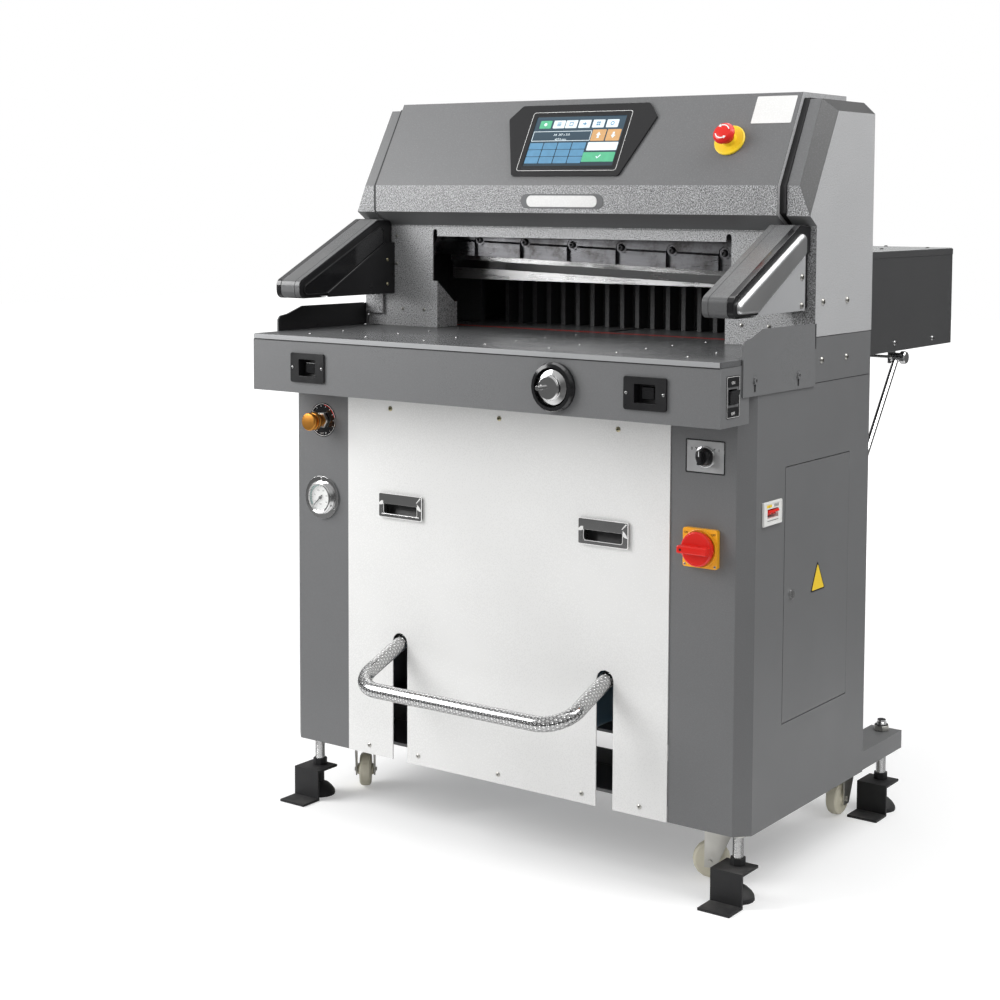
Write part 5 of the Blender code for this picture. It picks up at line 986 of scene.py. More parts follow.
class CUTTER_OT_screen(bpy.types.Operator):
    """Build the touch screen's bezel line, the margin of its glass and the generic keys shown on it."""
    bl_idname = "cutter.screen"
    bl_label = "Touch screen"

    # The display's middle and half size; how far the keys, the marks and the type on them stand out of the slope
    MIDDLE, HALF_WIDE, HALF_HIGH = 1.273, 0.102, 0.0500
    KEY_RISE, MARK_RISE, TYPE_RISE = (0.0031, 0.0038), (0.0036, 0.0040), 0.0036

    def execute(self, context):
        self.glass()
        self.outline()
        self.keys()
        return {'FINISHED'}

    def spot_on(self, across, down, out=0.0):
        """The face matrix at a share of the screen's width and height, from its upper left corner."""
        z = self.MIDDLE + (0.5 - down) * 2 * self.HALF_HIGH * SLOPE_RUN[1]
        return on_hood((across - 0.5) * 2 * self.HALF_WIDE, z, out)

    def glass(self):
        """The dark margin of the display lens."""
        outer = pill(self.HALF_WIDE + 0.0012, self.HALF_HIGH + 0.0066, 0.004)
        inner = pill(self.HALF_WIDE - 0.0022, self.HALF_HIGH + 0.0030, 0.0015)
        rim_plate("screen_lens_margin", on_hood(0.0, self.MIDDLE + 0.0002), outer, inner, 0.0030, 0.0043,
                  "black_gloss")

    def outline(self):
        """The pale line printed round the display on the bezel."""
        wide, high, thick = self.HALF_WIDE + 0.0085, self.HALF_HIGH + 0.0130, 0.0007
        outer, inner = pill(wide, high, 0.0055), pill(wide - thick, high - thick, 0.0049)
        rim_plate("screen_bezel_line", on_hood(0.0, self.MIDDLE), outer, inner, 0.0042, 0.0046, "ink_white")

    def key(self, form, across, down, wide, high):
        """A raised key; its place and size are shares of the screen."""
        outline = pill(wide * self.HALF_WIDE, high * self.HALF_HIGH, 0.0012, 4)
        tile(form, self.spot_on(across + wide / 2, down + high / 2), outline, *self.KEY_RISE)

    def word(self, form, across, down, out, drop, text, high):
        """Words centred on a share of the screen, set lower by the drop."""
        letters(form, self.spot_on(across, down, out), (0, -drop, 0), text, high)

    def keys(self):
        """The row of tiles, the readings, the arrow keys, the number pad and the two wide keys."""
        blue, white, ink, teal, amber = (bmesh.new() for _ in range(5))
        tops = ((0.065, teal), (0.215, white), (0.35, white), (0.495, white), (0.645, white), (0.795, white))
        for i, (across, form) in enumerate(tops):
            self.key(form, across, 0.05, 0.125, 0.165)
            self.icon(white if form is teal else blue, i, across + 0.0625, 0.132)
        wide, high = 0.64 * self.HALF_WIDE, 0.21 * self.HALF_HIGH
        frame_tile(white, self.spot_on(0.34, 0.385), pill(wide, high, 0.001, 4),
                   pill(wide - 0.0008, high - 0.0008, 0.0006, 4), 0.0031, 0.0037)
        for down, text in ((0.335, "A4  297 x 210"), (0.435, "457.0 mm")):
            self.word(white, 0.34, down, 0.0033, 0.0022, text, 0.0044)
        arrow = [(-0.0022, -0.0062), (0.0022, -0.0062), (0.0022, 0.0002), (0.0052, 0.0002),
                 (0, 0.0066), (-0.0052, 0.0002), (-0.0022, 0.0002)]
        for across, way in ((0.67, 1), (0.83, -1)):
            self.key(amber, across, 0.26, 0.145, 0.24)
            outline = [(a, b * way) for a, b in arrow][::way]
            tile(white, self.spot_on(across + 0.0725, 0.38), outline, *self.MARK_RISE)
        for row, line in enumerate(("789C", "4560", "123.")):
            for column, text in enumerate(line):
                across, down = 0.02 + column * 0.157, 0.53 + row * 0.15
                self.key(blue, across, down, 0.145, 0.135)
                self.word(ink, across + 0.0725, down + 0.0675, self.TYPE_RISE, 0.0024, text, 0.0048)
        self.key(white, 0.66, 0.53, 0.32, 0.17)
        self.word(ink, 0.82, 0.615, self.TYPE_RISE, 0.0022, "SET", 0.0044)
        self.key(teal, 0.64, 0.74, 0.34, 0.2)
        tick = [(-0.0052, 0.0004), (-0.0038, 0.0018), (-0.0014, -0.0010), (0.0040, 0.0048), (0.0054, 0.0034),
                (-0.0014, -0.0038)]
        tile(white, self.spot_on(0.81, 0.84), tick, *self.MARK_RISE)
        piece("screen_keys_blue", blue, "lit_blue")
        piece("screen_marks_white", white, "lit_white")
        piece("screen_key_numbers", ink, "black_ink_and_shade")
        piece("screen_keys_green", teal, "lit_green")
        piece("screen_keys_amber", amber, "lit_amber")

    def icon(self, form, kind, across, down):
        """A small generic sign for each tile: disc, bars, square, arrow, grid or ring."""
        face, (low, top) = self.spot_on(across, down), self.MARK_RISE
        if kind == 0:
            tile(form, face, disc(0.0034, 24), low, top)
        elif kind == 1:
            for step in (-0.003, 0.0, 0.003):
                tile(form, face, moved(pill(0.0044, 0.0008, 0.0006, 3), 0, step), low, top)
        elif kind == 2:
            frame_tile(form, face, pill(0.004, 0.004, 0.001, 3), pill(0.0028, 0.0028, 0.0006, 3), low, top)
        elif kind == 3:
            tile(form, face, [(-0.0042, -0.001), (0, -0.001), (0, -0.0036), (0.0044, 0), (0, 0.0036),
                              (0, 0.001), (-0.0042, 0.001)], low, top)
        elif kind == 4:
            for a in (-0.0023, 0.0023):
                for b in (-0.0023, 0.0023):
                    tile(form, face, moved(pill(0.0017, 0.0017, 0.0004, 3), a, b), low, top)
        else:
            frame_tile(form, face, disc(0.0041, 24), disc(0.0026, 24), low, top)


class CUTTER_OT_hood(bpy.types.Operator):
    """Dress the hood and the strip under it: joints, badge plate, label plate and the stop button's arrows."""
    bl_idname = "cutter.hood"
    bl_label = "Hood and strip"

    def execute(self, context):
        self.joints()
        self.badge()
        self.label()
        self.stop()
        return {'FINISHED'}

    def joints(self):
        """The black joint strips between the hood and the end covers, a little inside their outline."""
        outline = ((0.2375, 1.121), (0.1976, 1.1456), (0.1976, 1.1908), (0.2834, 1.3447), (0.4444, 1.3447),
                   (0.4444, 1.083))
        form = bmesh.new()
        for side in (-1, 1):
            wing(form, side, outline, 0.4441, 0.4553)
        piece("hood_joints", form, "black_rubber_and_shade")

    def badge(self):
        """The plain pill plate in the middle of the strip, with its halo."""
        place = on_front(0.0, 0.1896, 1.1635)
        plate("badge_halo", place, pill(0.0915, 0.0135, 0.013, 10), *PRINT, "grey_plastic")
        badge = eased(tile(bmesh.new(), place, pill(0.078, 0.0105, 0.0102, 10), SEAT, 0.0014), 0.0003)
        piece("badge_plate", badge, "plate_white")

    def label(self):
        """The bare plate at the place of a printed label."""
        label = tile(bmesh.new(), on_hood(0.397, 1.3245), pill(0.039, 0.0275, 0.002, 4), SEAT, 0.0007)
        piece("label_plate", eased(label, 0.0002, 1), "plate_white")

    def stop(self):
        """The two pale arrows on the stop button's head."""
        place, rise = on_hood(0.327, 1.2705), (0.0334, 0.0337)
        reach, half_wide, tip_long = 0.0128, 0.0034, 0.0048
        arrows = bmesh.new()
        for start in (20, 200):
            end = start + 95
            tile(arrows, place, arc_band(0.0118, 0.0138, start, end), *rise)
            out_a, out_b = math.cos(math.radians(end)), math.sin(math.radians(end))
            nose = [(reach * out_a + a, reach * out_b + b) for a, b in
                    ((half_wide * out_a, half_wide * out_b), (-tip_long * out_b, tip_long * out_a),
                     (-half_wide * out_a, -half_wide * out_b))]
            tile(arrows, place, nose, *rise)
        piece("stop_arrows", arrows, "ink_white", "estop")


def inset(corners, radii, distance):
    """A convex outline drawn in by a distance, its round corners staying concentric."""
    lines, count = [], len(corners)
    for i in range(count):
        here, ahead = Vector(corners[i]), Vector(corners[(i + 1) % count])
        along = (ahead - here).normalized()
        lines.append((here + Vector((-along.y, along.x)) * distance, along))
    drawn_in = []
    for (start, along), (other, way) in zip([lines[-1]] + lines[:-1], lines):
        gap = other - start
        reach = (gap.x * way.y - gap.y * way.x) / (along.x * way.y - along.y * way.x)
        drawn_in.append(tuple(start + along * reach))
    return rounded(drawn_in, [radius - distance for radius in radii], 8)


def band_outline(corners, radius, near, far):
    """The outline of a sheet bent round the corners, between two distances out of their line."""
    path = [Vector((p.y, p.z)) for p in bend([(0, y, z) for y, z in corners], radius, 8)]
    sides = [[], []]
    for i, here in enumerate(path):
        along = heading(path, i)
        out = Vector((-along.y, along.x))
        for line, reach in zip(sides, (near, far)):
            line.append(tuple(here - out * reach))
    return sides[0] + sides[1][::-1]


class CUTTER_OT_guards(bpy.types.Operator):
    """Cover the two guard arms: sheet bands, edge trim, outer covers, dark windows and gussets."""
    bl_idname = "cutter.guards"
    bl_label = "Guard arms"

    # Outlines seen from the side, as depth and height: the line over the arm's top and round its nose, the window
    # with its corner radii, the body, the gusset below, and the gusset's inner side
    OVER = ((0.2115, 1.1245), (0.184, 1.1245), (-0.045, 1.010), (-0.045, 0.980), (0.030, 0.980))
    WINDOW = ((0.0345, 0.9845), (0.2020, 1.0765), (0.2020, 1.1190), (-0.0345, 1.0020), (-0.0345, 0.9845))
    ROUNDS = (0.0120, 0.0120, 0.0125, 0.0110, 0.0095)
    CORE = ((-0.0440, 0.9880), (-0.0440, 1.0028), (-0.0353, 1.0138), (0.1782, 1.1206), (0.1880, 1.1237),
            (0.2240, 1.1237), (0.2240, 1.0790), (0.1995, 1.0708), (0.0357, 0.9808), (-0.0374, 0.9808))
    GUSSET = ((0.0390, 0.9810), (0.2050, 0.9810), (0.2050, 1.0760), (0.2000, 1.0740), (0.0390, 0.9860))
    BACK = ((0.0300, 0.9790), (0.2300, 0.9790), (0.2300, 1.0800), (0.2030, 1.0800), (0.0300, 0.9862))

    def execute(self, context):
        bands, trim, covers, windows, frames, gussets, backs = (bmesh.new() for _ in range(7))
        for side in (-1, 1):
            word = "left" if side < 0 else "right"
            core = eased(wing(bmesh.new(), side, self.CORE, 0.4334, 0.4901), 0.0012)
            piece("guard_core_" + word, core, "black_plastic", instead=("guard_arm_" + word,))
            self.wrap(bands, side, 0.4334, 0.4446, 0.0014)
            self.wrap(bands, side, 0.4454, 0.4790, 0.0014)
            self.wrap(trim, side, 0.4797, 0.4909, 0.0017)
            self.dome(covers, side)
            wing(windows, side, inset(self.WINDOW, self.ROUNDS, 0.002), 0.4318, 0.4328)
            self.ring(frames, side)
            wing(gussets, side, self.GUSSET, 0.4896, 0.4904)
            wing(backs, side, self.BACK, 0.4288, 0.4304)
            lip = [at(side * 0.4300, y, z) for y, z in ((0.0300, 0.9862), (0.2030, 1.0800))]
            sweep(backs, lip, 0.0016, 12)
            wing(backs, side, rectangle(0.2060, 0.2310, 0.9845, 1.1190), 0.4380, 0.4840)
        piece("guard_bands", eased(bands, 0.0004, 2, 60), "arm_coat")
        piece("guard_trim", eased(trim, 0.0014, 3, 60), "black_gloss")
        piece("guard_covers", covers, "silver_cover", degrees=60)
        piece("guard_windows", eased(windows, 0.0003, 1), "black_gloss")
        piece("guard_window_frames", eased(frames, 0.0003, 1), "black_plastic")
        piece("guard_gussets", gussets, "pale_coat_and_highlight")
        piece("guard_gusset_backs", backs, "black_plastic")
        rows = [(at(0.4905, 0.192, z), RIGHT, turn) for z, turn in ((1.038, 20), (0.990, 65))]
        screws("guard_screws", "socket", sizes().button_head, "zinc_plate", mirror_rows(rows))
        rows = [(at(0.4286, 0.208, z), -RIGHT, turn) for z, turn in ((1.046, 35), (0.998, 10))]
        screws("guard_back_screws", "cross", sizes().screw, "yellow_zinc", mirror_rows(rows))
        return {'FINISHED'}

    def wrap(self, form, side, near, far, thick):
        """A sheet bent over the arm's top, between two distances from the machine's middle plane."""
        wing(form, side, band_outline(self.OVER, 0.012, 0.0003, thick), near, far)

    def dome(self, form, side):
        """A crowned cover: rings that step inwards as they rise."""
        steps = ((0.0, 0.4908), (0.0004, 0.4926), (0.0014, 0.4944), (0.0030, 0.4958), (0.0052, 0.4968),
                 (0.0082, 0.4975))
        loft(form, [[at(side * x, y, z) for y, z in inset(self.WINDOW, self.ROUNDS, distance)]
                    for distance, x in steps])

    def ring(self, form, side):
        """The raised frame of the inner window."""
        place = Matrix(((0, 0, -side, side * 0.4331), (1, 0, 0, FRONT), (0, 1, 0, 0), (0, 0, 0, 1)))
        outer, inner = (inset(self.WINDOW, self.ROUNDS, distance) for distance in (0.0, 0.0026))
        frame_tile(form, place, outer, inner, 0.0002, 0.0024)


def ring_ticks(form, matrix, count, first, last, near, far, half, low, high):
    """Radial marks between two radii, spread evenly from the first angle to the last."""
    for i in range(count):
        turn = math.radians(first + (last - first) * i / (count - 1))
        out, over = Vector((math.cos(turn), math.sin(turn))), Vector((-math.sin(turn), math.cos(turn)))
        corners = ((near, -half), (far, -half), (far, half), (near, half))
        tile(form, matrix, [out * reach + over * shift for reach, shift in corners], low, high)
    return form


def ring_letters(form, matrix, texts, first, last, radius, high, out):
    """Upright words set on a circle, spread evenly from the first angle to the last."""
    for i, text in enumerate(texts):
        turn = math.radians(first + (last - first) * i / (len(texts) - 1))
        letters(form, matrix, (radius * math.cos(turn), radius * math.sin(turn) - high / 2, out), text, high)
    return form


# Centres of the controls on the two front columns
PRESSURE, GAUGE = (-0.4158, 0, 0.747), (-0.417, 0, 0.5985)
SELECTOR, MAIN_SWITCH = (0.4174, 0, 0.7475), (0.41405, -0.009, 0.59635)


def on_column(centre, profile, steps=ROUND):
    """A form turned about a control's own axis."""
    return lathe(bmesh.new(), profile, at(*centre), FORWARD, steps)


class CUTTER_OT_controls(bpy.types.Operator):
    """Build the scales, plates, rings and screws of the controls on the two front columns."""
    bl_idname = "cutter.controls"
    bl_label = "Front controls"

    def execute(self, context):
        self.pressure()
        self.gauge()
        self.selector()
        self.main_switch()
        return {'FINISHED'}

    def pressure(self):
        face = on_front(*PRESSURE)
        scale = tile(bmesh.new(), face, disc(0.0325), *PRINT)
        piece("pressure_disc", eased(scale, 0.0001, 1), "black_gloss")
        marks = frame_tile(bmesh.new(), face, disc(0.0308), disc(0.0302), 0.0005, 0.0008)
        ring_ticks(marks, face, 13, -150, 150, 0.0248, 0.0280, 0.0003, 0.0005, 0.0008)
        ring_letters(marks, face, "-0+", -108, -72, 0.0242, 0.0030, 0.0007)
        piece("pressure_marks", marks, "ink_white")
        plate("pressure_red_arc", face, arc_band(0.0285, 0.0296, 12, 84), 0.0005, 0.0009, "red_plastic")
        groove = on_column(PRESSURE, ((0.0172, 0.0288), (0.01735, 0.0291), (0.01735, 0.0299), (0.0172, 0.0302),
                                      (0.0169, 0.0302), (0.0169, 0.0288), (0.0172, 0.0288)))
        piece("pressure_groove", groove, "black_plastic", "pressure")
        nut = on_column(PRESSURE, ((0.0119, 0.0012), (0.0152, 0.0012), (0.0158, 0.0018), (0.0158, 0.0062),
                                   (0.0146, 0.0074), (0.0119, 0.0074), (0.0119, 0.0012)), 6)
        piece("pressure_nut", eased(nut, 0.0004), "zinc_plate", "pressure")

    def gauge(self):
        face, dial = on_front(*GAUGE), 0.0066
        plate("gauge_dial", face, disc(0.0252), dial, 0.0067, "plate_white")
        ink = ring_ticks(bmesh.new(), face, 31, -45, 225, 0.0212, 0.0232, 0.00014, dial, 0.00685)
        ring_ticks(ink, face, 7, -45, 225, 0.0200, 0.0232, 0.0003, dial, 0.00685)
        ring_letters(ink, face, ("250", "200", "150", "100", "50", "0"), -25, 205, 0.0158, 0.0026, 0.0067)
        letters(ink, face, (0, -0.0125, 0.0067), "bar", 0.0026)
        piece("gauge_marks", ink, "black_ink_and_shade")
        plate("gauge_green_arc", face, arc_band(0.0234, 0.0246, 100, 215), dial, 0.0069, "teal_ink")
        glass = on_column(GAUGE, ((0.0253, 0.0118), (0.0253, 0.0126), (0.016, 0.0130), (0, 0.0132), (0, 0.0118)))
        piece("gauge_glass", glass, "clear_glass")
        rows = []
        for turn in (90, 210, 330):
            way = Vector((math.cos(math.radians(turn)), 0, math.sin(math.radians(turn))))
            rows.append((at(GAUGE[0], -0.004, GAUGE[2]) + way * 0.0362, FORWARD, turn))
        screws("gauge_screws", "cross", 0.0028, "steel_screw", rows)

    def selector(self):
        face = on_front(*SELECTOR)
        outer, inner = pill(0.0370, 0.0280, 0.002), pill(0.0350, 0.0260, 0.001)
        rim_plate("selector_border", face, outer, inner, *PRINT, "black_plastic")
        back = eased(tile(bmesh.new(), face, pill(0.0349, 0.0259, 0.001), 0.0001, 0.0003), 0.00004, 1)
        piece("selector_plate", back, "brushed_plate")
        ring = on_column(SELECTOR, ((0.0152, 0.0004), (0.0152, 0.0030), (0.0160, 0.0036), (0.0176, 0.0032),
                                    (0.0184, 0.0018), (0.0184, 0.0004), (0.0152, 0.0004)))
        piece("selector_ring", ring, "chrome")
        ink = bmesh.new()
        for across, text in ((-0.0255, "0"), (0.0255, "1")):
            letters(ink, face, (across, 0.0118, 0.0004), text, 0.0046)
        for turn in (142, 38):
            out = Matrix.Rotation(math.radians(turn), 4, 'Z') @ Matrix.Translation((0.0205, 0, 0))
            tile(ink, face @ out, rectangle(-0.001, 0.0032, -0.0006, 0.0006), *PRINT)
        piece("selector_marks", ink, "black_ink_and_shade")
        plate("selector_line", face, rectangle(-0.0008, 0.0008, 0.0022, 0.0112), 0.0224, 0.0228, "ink_white",
              "selector")

    def main_switch(self):
        face = on_front(*MAIN_SWITCH)
        ring = on_column(MAIN_SWITCH, ((0.0302, 0.0002), (0.0302, 0.0024), (0.0309, 0.0030), (0.0316, 0.0026),
                                       (0.0318, 0.0002), (0.0302, 0.0002)))
        piece("main_switch_ring", ring, "yellow_plastic")
        marks = bmesh.new()
        for across, text in ((-0.0262, "ON"), (0.0255, "OFF")):
            letters(marks, face, (across, 0.0245, 0.0002), text, 0.0034)
        piece("main_switch_marks", marks, "black_ink_and_shade")
        x, y, z = MAIN_SWITCH
        rows = [(at(x + side * 0.0283, y, z - 0.0283), FORWARD, 20 - 30 * side) for side in (-1, 1)]
        screws("main_switch_screws", "cross", 0.0022, "steel_screw", rows)
        # Painted shade: a black disc stands for the shade in the switch's small hole.
        plate("main_switch_hole_shade", on_front(x - 0.0205, -0.0385, z), disc(0.0021, 24), 0.0001, 0.0003,
              "black_plastic", "main_switch")


class CUTTER_OT_apron_parts(bpy.types.Operator):
    """Build what sits on the apron, its end and the white panel."""
    bl_idname = "cutter.apron_parts"
    bl_label = "Apron and panel fittings"

    def execute(self, context):
        rows = [(at(side * 0.363 + reach, -0.104 - SEAT, 0.8563), FORWARD, turn)
                for side in (-1, 1) for reach, turn in ((-0.0352, 15), (0.0352, 60))]
        screws("bezel_screws", "cross", 0.0026, "steel_screw", rows)
        self.rocker_frame()
        self.handles()
        self.table()
        return {'FINISHED'}

    def rocker_frame(self):
        """The plate round the rocker switch, with its printed line and words."""
        face = on_side(-0.0605, 0.8566, BRACKET_SIDE)
        outer, inner = pill(0.0215, 0.0338, 0.003), pill(0.0183, 0.0163, 0.001)
        rim_plate("rocker_plate", face, outer, inner, SEAT, 0.0007, "black_plastic")
        line = frame_tile(bmesh.new(), face, pill(0.0203, 0.0326, 0.0022), pill(0.0197, 0.0320, 0.0018),
                          0.0006, 0.0009)
        for up, text in ((0.0225, "ON"), (-0.0265, "OFF")):
            letters(line, face, (0, up, 0.0007), text, 0.0048)
        piece("rocker_lines", line, "ink_white")

    def handles(self):
        """The pressed handles: a chromed flange, a dark mouth that is painted shade, and white rims and rolled
        corners of the mouth that are painted highlights on the chrome.
        """
        flange, liner, rim, cheek = (bmesh.new() for _ in range(4))
        left = ((-0.0500, 0.0000), (-0.0440, 0.0005), (-0.0400, 0.0020), (-0.0400, 0.0085), (-0.0450, 0.0080),
                (-0.0500, 0.0040))
        right = ((0.0400, 0.0085), (0.0400, -0.0010), (0.0450, -0.0038), (0.0498, -0.0042), (0.0480, 0.0005),
                 (0.0440, 0.0055))
        fold = ((0.0375, 0.0105), (0.0392, 0.0100), (0.0488, 0.0192), (0.0462, 0.0206))
        hole, outer, inner = (moved(pill(*size), 0, -0.0035) for size in
                              ((0.0392, 0.0118, 0.0045), (0.0400, 0.0126, 0.0052), (0.0391, 0.0117, 0.0044)))
        for middle in (-0.2226, 0.2226):
            face = on_front(middle, -0.0022, 0.600)
            frame_tile(flange, face, pill(0.0511, 0.0230, 0.0035), hole, 0.0002, 0.0036)
            # Painted highlights: white rims on the flange's outer edge and round the mouth.
            frame_tile(rim, face, pill(0.0514, 0.0233, 0.0038), pill(0.0497, 0.0216, 0.0026), 0.0030, 0.0044)
            frame_tile(rim, face, outer, inner, 0.0034, 0.0042)
            # Painted highlights: white cheeks on the rolled corners of the mouth.
            for outline in (left, right, fold):
                tile(cheek, face, outline, 0.0034, 0.0044)
            # Painted shade: a black block at the back of the mouth.
            block(liner, (middle - 0.0430, 0.0118, 0.5825), (middle + 0.0430, 0.0130, 0.6155))
        piece("handle_flanges", eased(flange, 0.0008, 3), "chrome")
        piece("handle_mouth_shade", liner, "black_plastic")
        piece("handle_rim_highlights", eased(rim, 0.0002, 2), "panel_coat_and_highlight")
        piece("handle_cheek_highlights", eased(cheek, 0.0003, 2), "panel_coat_and_highlight")

    def table(self):
        """The table's front edge in the pale coat, a painted highlight, with a black strip of painted shade under
        it; and the side brackets' dark inner faces, keyholes painted black as shade, and seams.
        """
        # Painted highlight: the front edge is a pale copy of the coat; the black strip under it is painted shade.
        edge = block(bmesh.new(), (-0.4985, -0.1010, 0.9052), (0.4985, -0.1003, 0.9136))
        piece("table_edge_highlight", eased(edge, 0.0003, 2), "pale_coat_and_highlight")
        shade = block(bmesh.new(), (-0.4985, -0.1008, 0.9033), (0.4985, -0.1003, 0.9048))
        piece("table_edge_shade", shade, "black_rubber_and_shade")
        outline = ((-0.0300, 0.9146), (0.2311, 0.9146), (0.2311, 0.9575), (0.0364, 0.9586), (-0.0050, 0.9452),
                   (-0.0255, 0.9422), (-0.0300, 0.9362))
        liner, slots, seams = bmesh.new(), bmesh.new(), bmesh.new()
        for side in (-1, 1):
            wing(liner, side, outline, 0.4996, 0.5001)
            for y, z in ((0.0066, 0.8775), (0.1596, 0.8751)):
                # Painted shade: black slots stand for the shade in the keyholes.
                wing(slots, side, moved(pill(0.0022, 0.0062, 0.0021), y, z - 0.0122), 0.5034, 0.5037)
            wing(seams, side, rectangle(0.2262, 0.4425, 0.8551, 0.8562), 0.5001, 0.5003)
        piece("bracket_liners", liner, "black_plastic")
        piece("keyhole_slot_shade", slots, "black_rubber_and_shade")
        piece("side_seams", seams, "black_rubber_and_shade")


class CUTTER_OT_lower(bpy.types.Operator):
    """Build the treadle, the feet's threads, the knob, the breaker's marks and the door's sign."""
    bl_idname = "cutter.lower"
    bl_label = "Treadle, feet and side fittings"

    def execute(self, context):
        self.treadle()
        self.feet()
        self.knob()
        self.breaker()
        self.door()
        return {'FINISHED'}

    def treadle(self):
        """The dimpled bar, with its shaft and hubs inside the cabinet."""
        arm, pivot, low = 0.2265, (0.13, 0.392), (-0.1350, 0.2908)
        path = bend([at(-arm, *pivot), at(-arm, *low), at(arm, *low), at(arm, *pivot)], 0.055, 16)
        bar = sweep(bmesh.new(), path, 0.0135, 32)
        piece("treadle_tube", bar, "treadle_chrome", "treadle", instead=("treadle_bar",))
        shaft = lathe(bmesh.new(), ((0, -0.4450), (0.0088, -0.4450), (0.0096, -0.4440), (0.0096, 0.4440),
                                    (0.0088, 0.4450), (0, 0.4450)), at(0, *pivot), RIGHT, 24)
        piece("treadle_shaft", shaft, "shaft_steel", "treadle")
        hubs = bmesh.new()
        profile = ((0.0100, -0.017), (0.0185, -0.017), (0.0195, -0.016), (0.0195, 0.016), (0.0185, 0.017),
                   (0.0100, 0.017), (0.0100, -0.017))
        for x in (-arm, arm):
            lathe(hubs, profile, at(x, *pivot), RIGHT, 32)
        piece("treadle_hubs", hubs, "inside_paint", "treadle")

    def feet(self):
        """A chrome threaded stem with its two nuts under each corner."""
        low, pitch, count = 0.0470, 0.0021, 59
        core, root, crest = 0.0081, 0.0084, 0.0094
        rings = [(core, 0.046)]
        for turn in range(count):
            height = low + turn * pitch
            rings += [(root, height), (crest, height + pitch * 0.35), (crest, height + pitch * 0.6)]
        rings += [(root, low + count * pitch), (core, 0.1750), (core, 0.046)]
        threads, nuts = bmesh.new(), bmesh.new()
        for x in (-0.465, 0.465):
            for y in (0.043, 0.610):
                foot = at(x, y, 0)
                lathe(threads, rings, foot, UP, 24)
                for height in (0.1085, 0.1545):
                    lathe(nuts, ((0.0096, height), (0.0140, height), (0.0150, height + 0.0010),
                                 (0.0150, height + 0.0092), (0.0140, height + 0.0102), (0.0096, height + 0.0102),
                                 (0.0096, height)), foot, UP, 6)
        piece("foot_threads", threads, "chrome")
        piece("foot_nuts", eased(nuts, 0.0004), "zinc_plate")

    def knob(self):
        """The pressure knob: two discs on a waist."""
        profile = ((0, 0.0430), (0.0148, 0.0430), (0.0165, 0.0418), (0.0170, 0.0398), (0.0170, 0.0376),
                   (0.0160, 0.0356), (0.0118, 0.0345), (0.0108, 0.0325), (0.0118, 0.0300), (0.0158, 0.0290),
                   (0.0170, 0.0272), (0.0170, 0.0235), (0.0160, 0.0212), (0.0118, 0.0204), (0.0113, 0.0190),
                   (0.0113, 0.0008), (0, 0.0008))
        piece("pressure_grip", on_column(PRESSURE, profile), "gold_anodised", "pressure",
              instead=("pressure_knob",), degrees=50)

    def breaker(self):
        """The rim, the coloured band and the marks of the side breaker."""
        face = on_side(0.0749, 0.653, BREAKER_SIDE)
        outer, inner = pill(0.0316, 0.0194, 0.002), pill(0.0286, 0.0166, 0.001)
        rim = frame_tile(bmesh.new(), face, outer, inner, SEAT, 0.0010)
        piece("breaker_rim", eased(rim, 0.0003, 1), "pale_plastic")
        thin, band_up = (SEAT, 0.0005), 0.0125
        plate("breaker_band", face, moved(pill(0.0085, 0.0022, 0.0004, 2), -0.013, band_up), *thin, "sign_yellow")
        marks = letters(bmesh.new(), face, (-0.013, 0.0110, 0.0004), "ON", 0.0026)
        for across in (0.006, 0.010, 0.014, 0.018):
            tile(marks, face, moved(pill(0.0008, 0.0024, 0.0003, 2), across, band_up), *thin)
        tile(marks, face, moved(pill(0.0190, 0.0004, 0.0002, 2), 0.0, -0.0118), *thin)
        piece("breaker_marks", marks, "black_ink_and_shade")

    def door(self):
        """The yellow triangle on the door, with its black rim."""
        corners = [Vector(corner) for corner in ((0.2252, 0.4926), (0.2793, 0.4926), (0.2502, 0.5448))]
        middle, face = (corners[0] + corners[1] + corners[2]) / 3, on_side(0, 0)
        plate("door_sign_rim", face, rounded(corners, 0.0022, 5), *PRINT, "black_ink_and_shade", "door")
        yellow_share = 0.86
        inner = rounded([middle + (corner - middle) * yellow_share for corner in corners], 0.0016, 5)
        plate("door_sign", face, inner, 0.0005, 0.0008, "sign_yellow", "door")


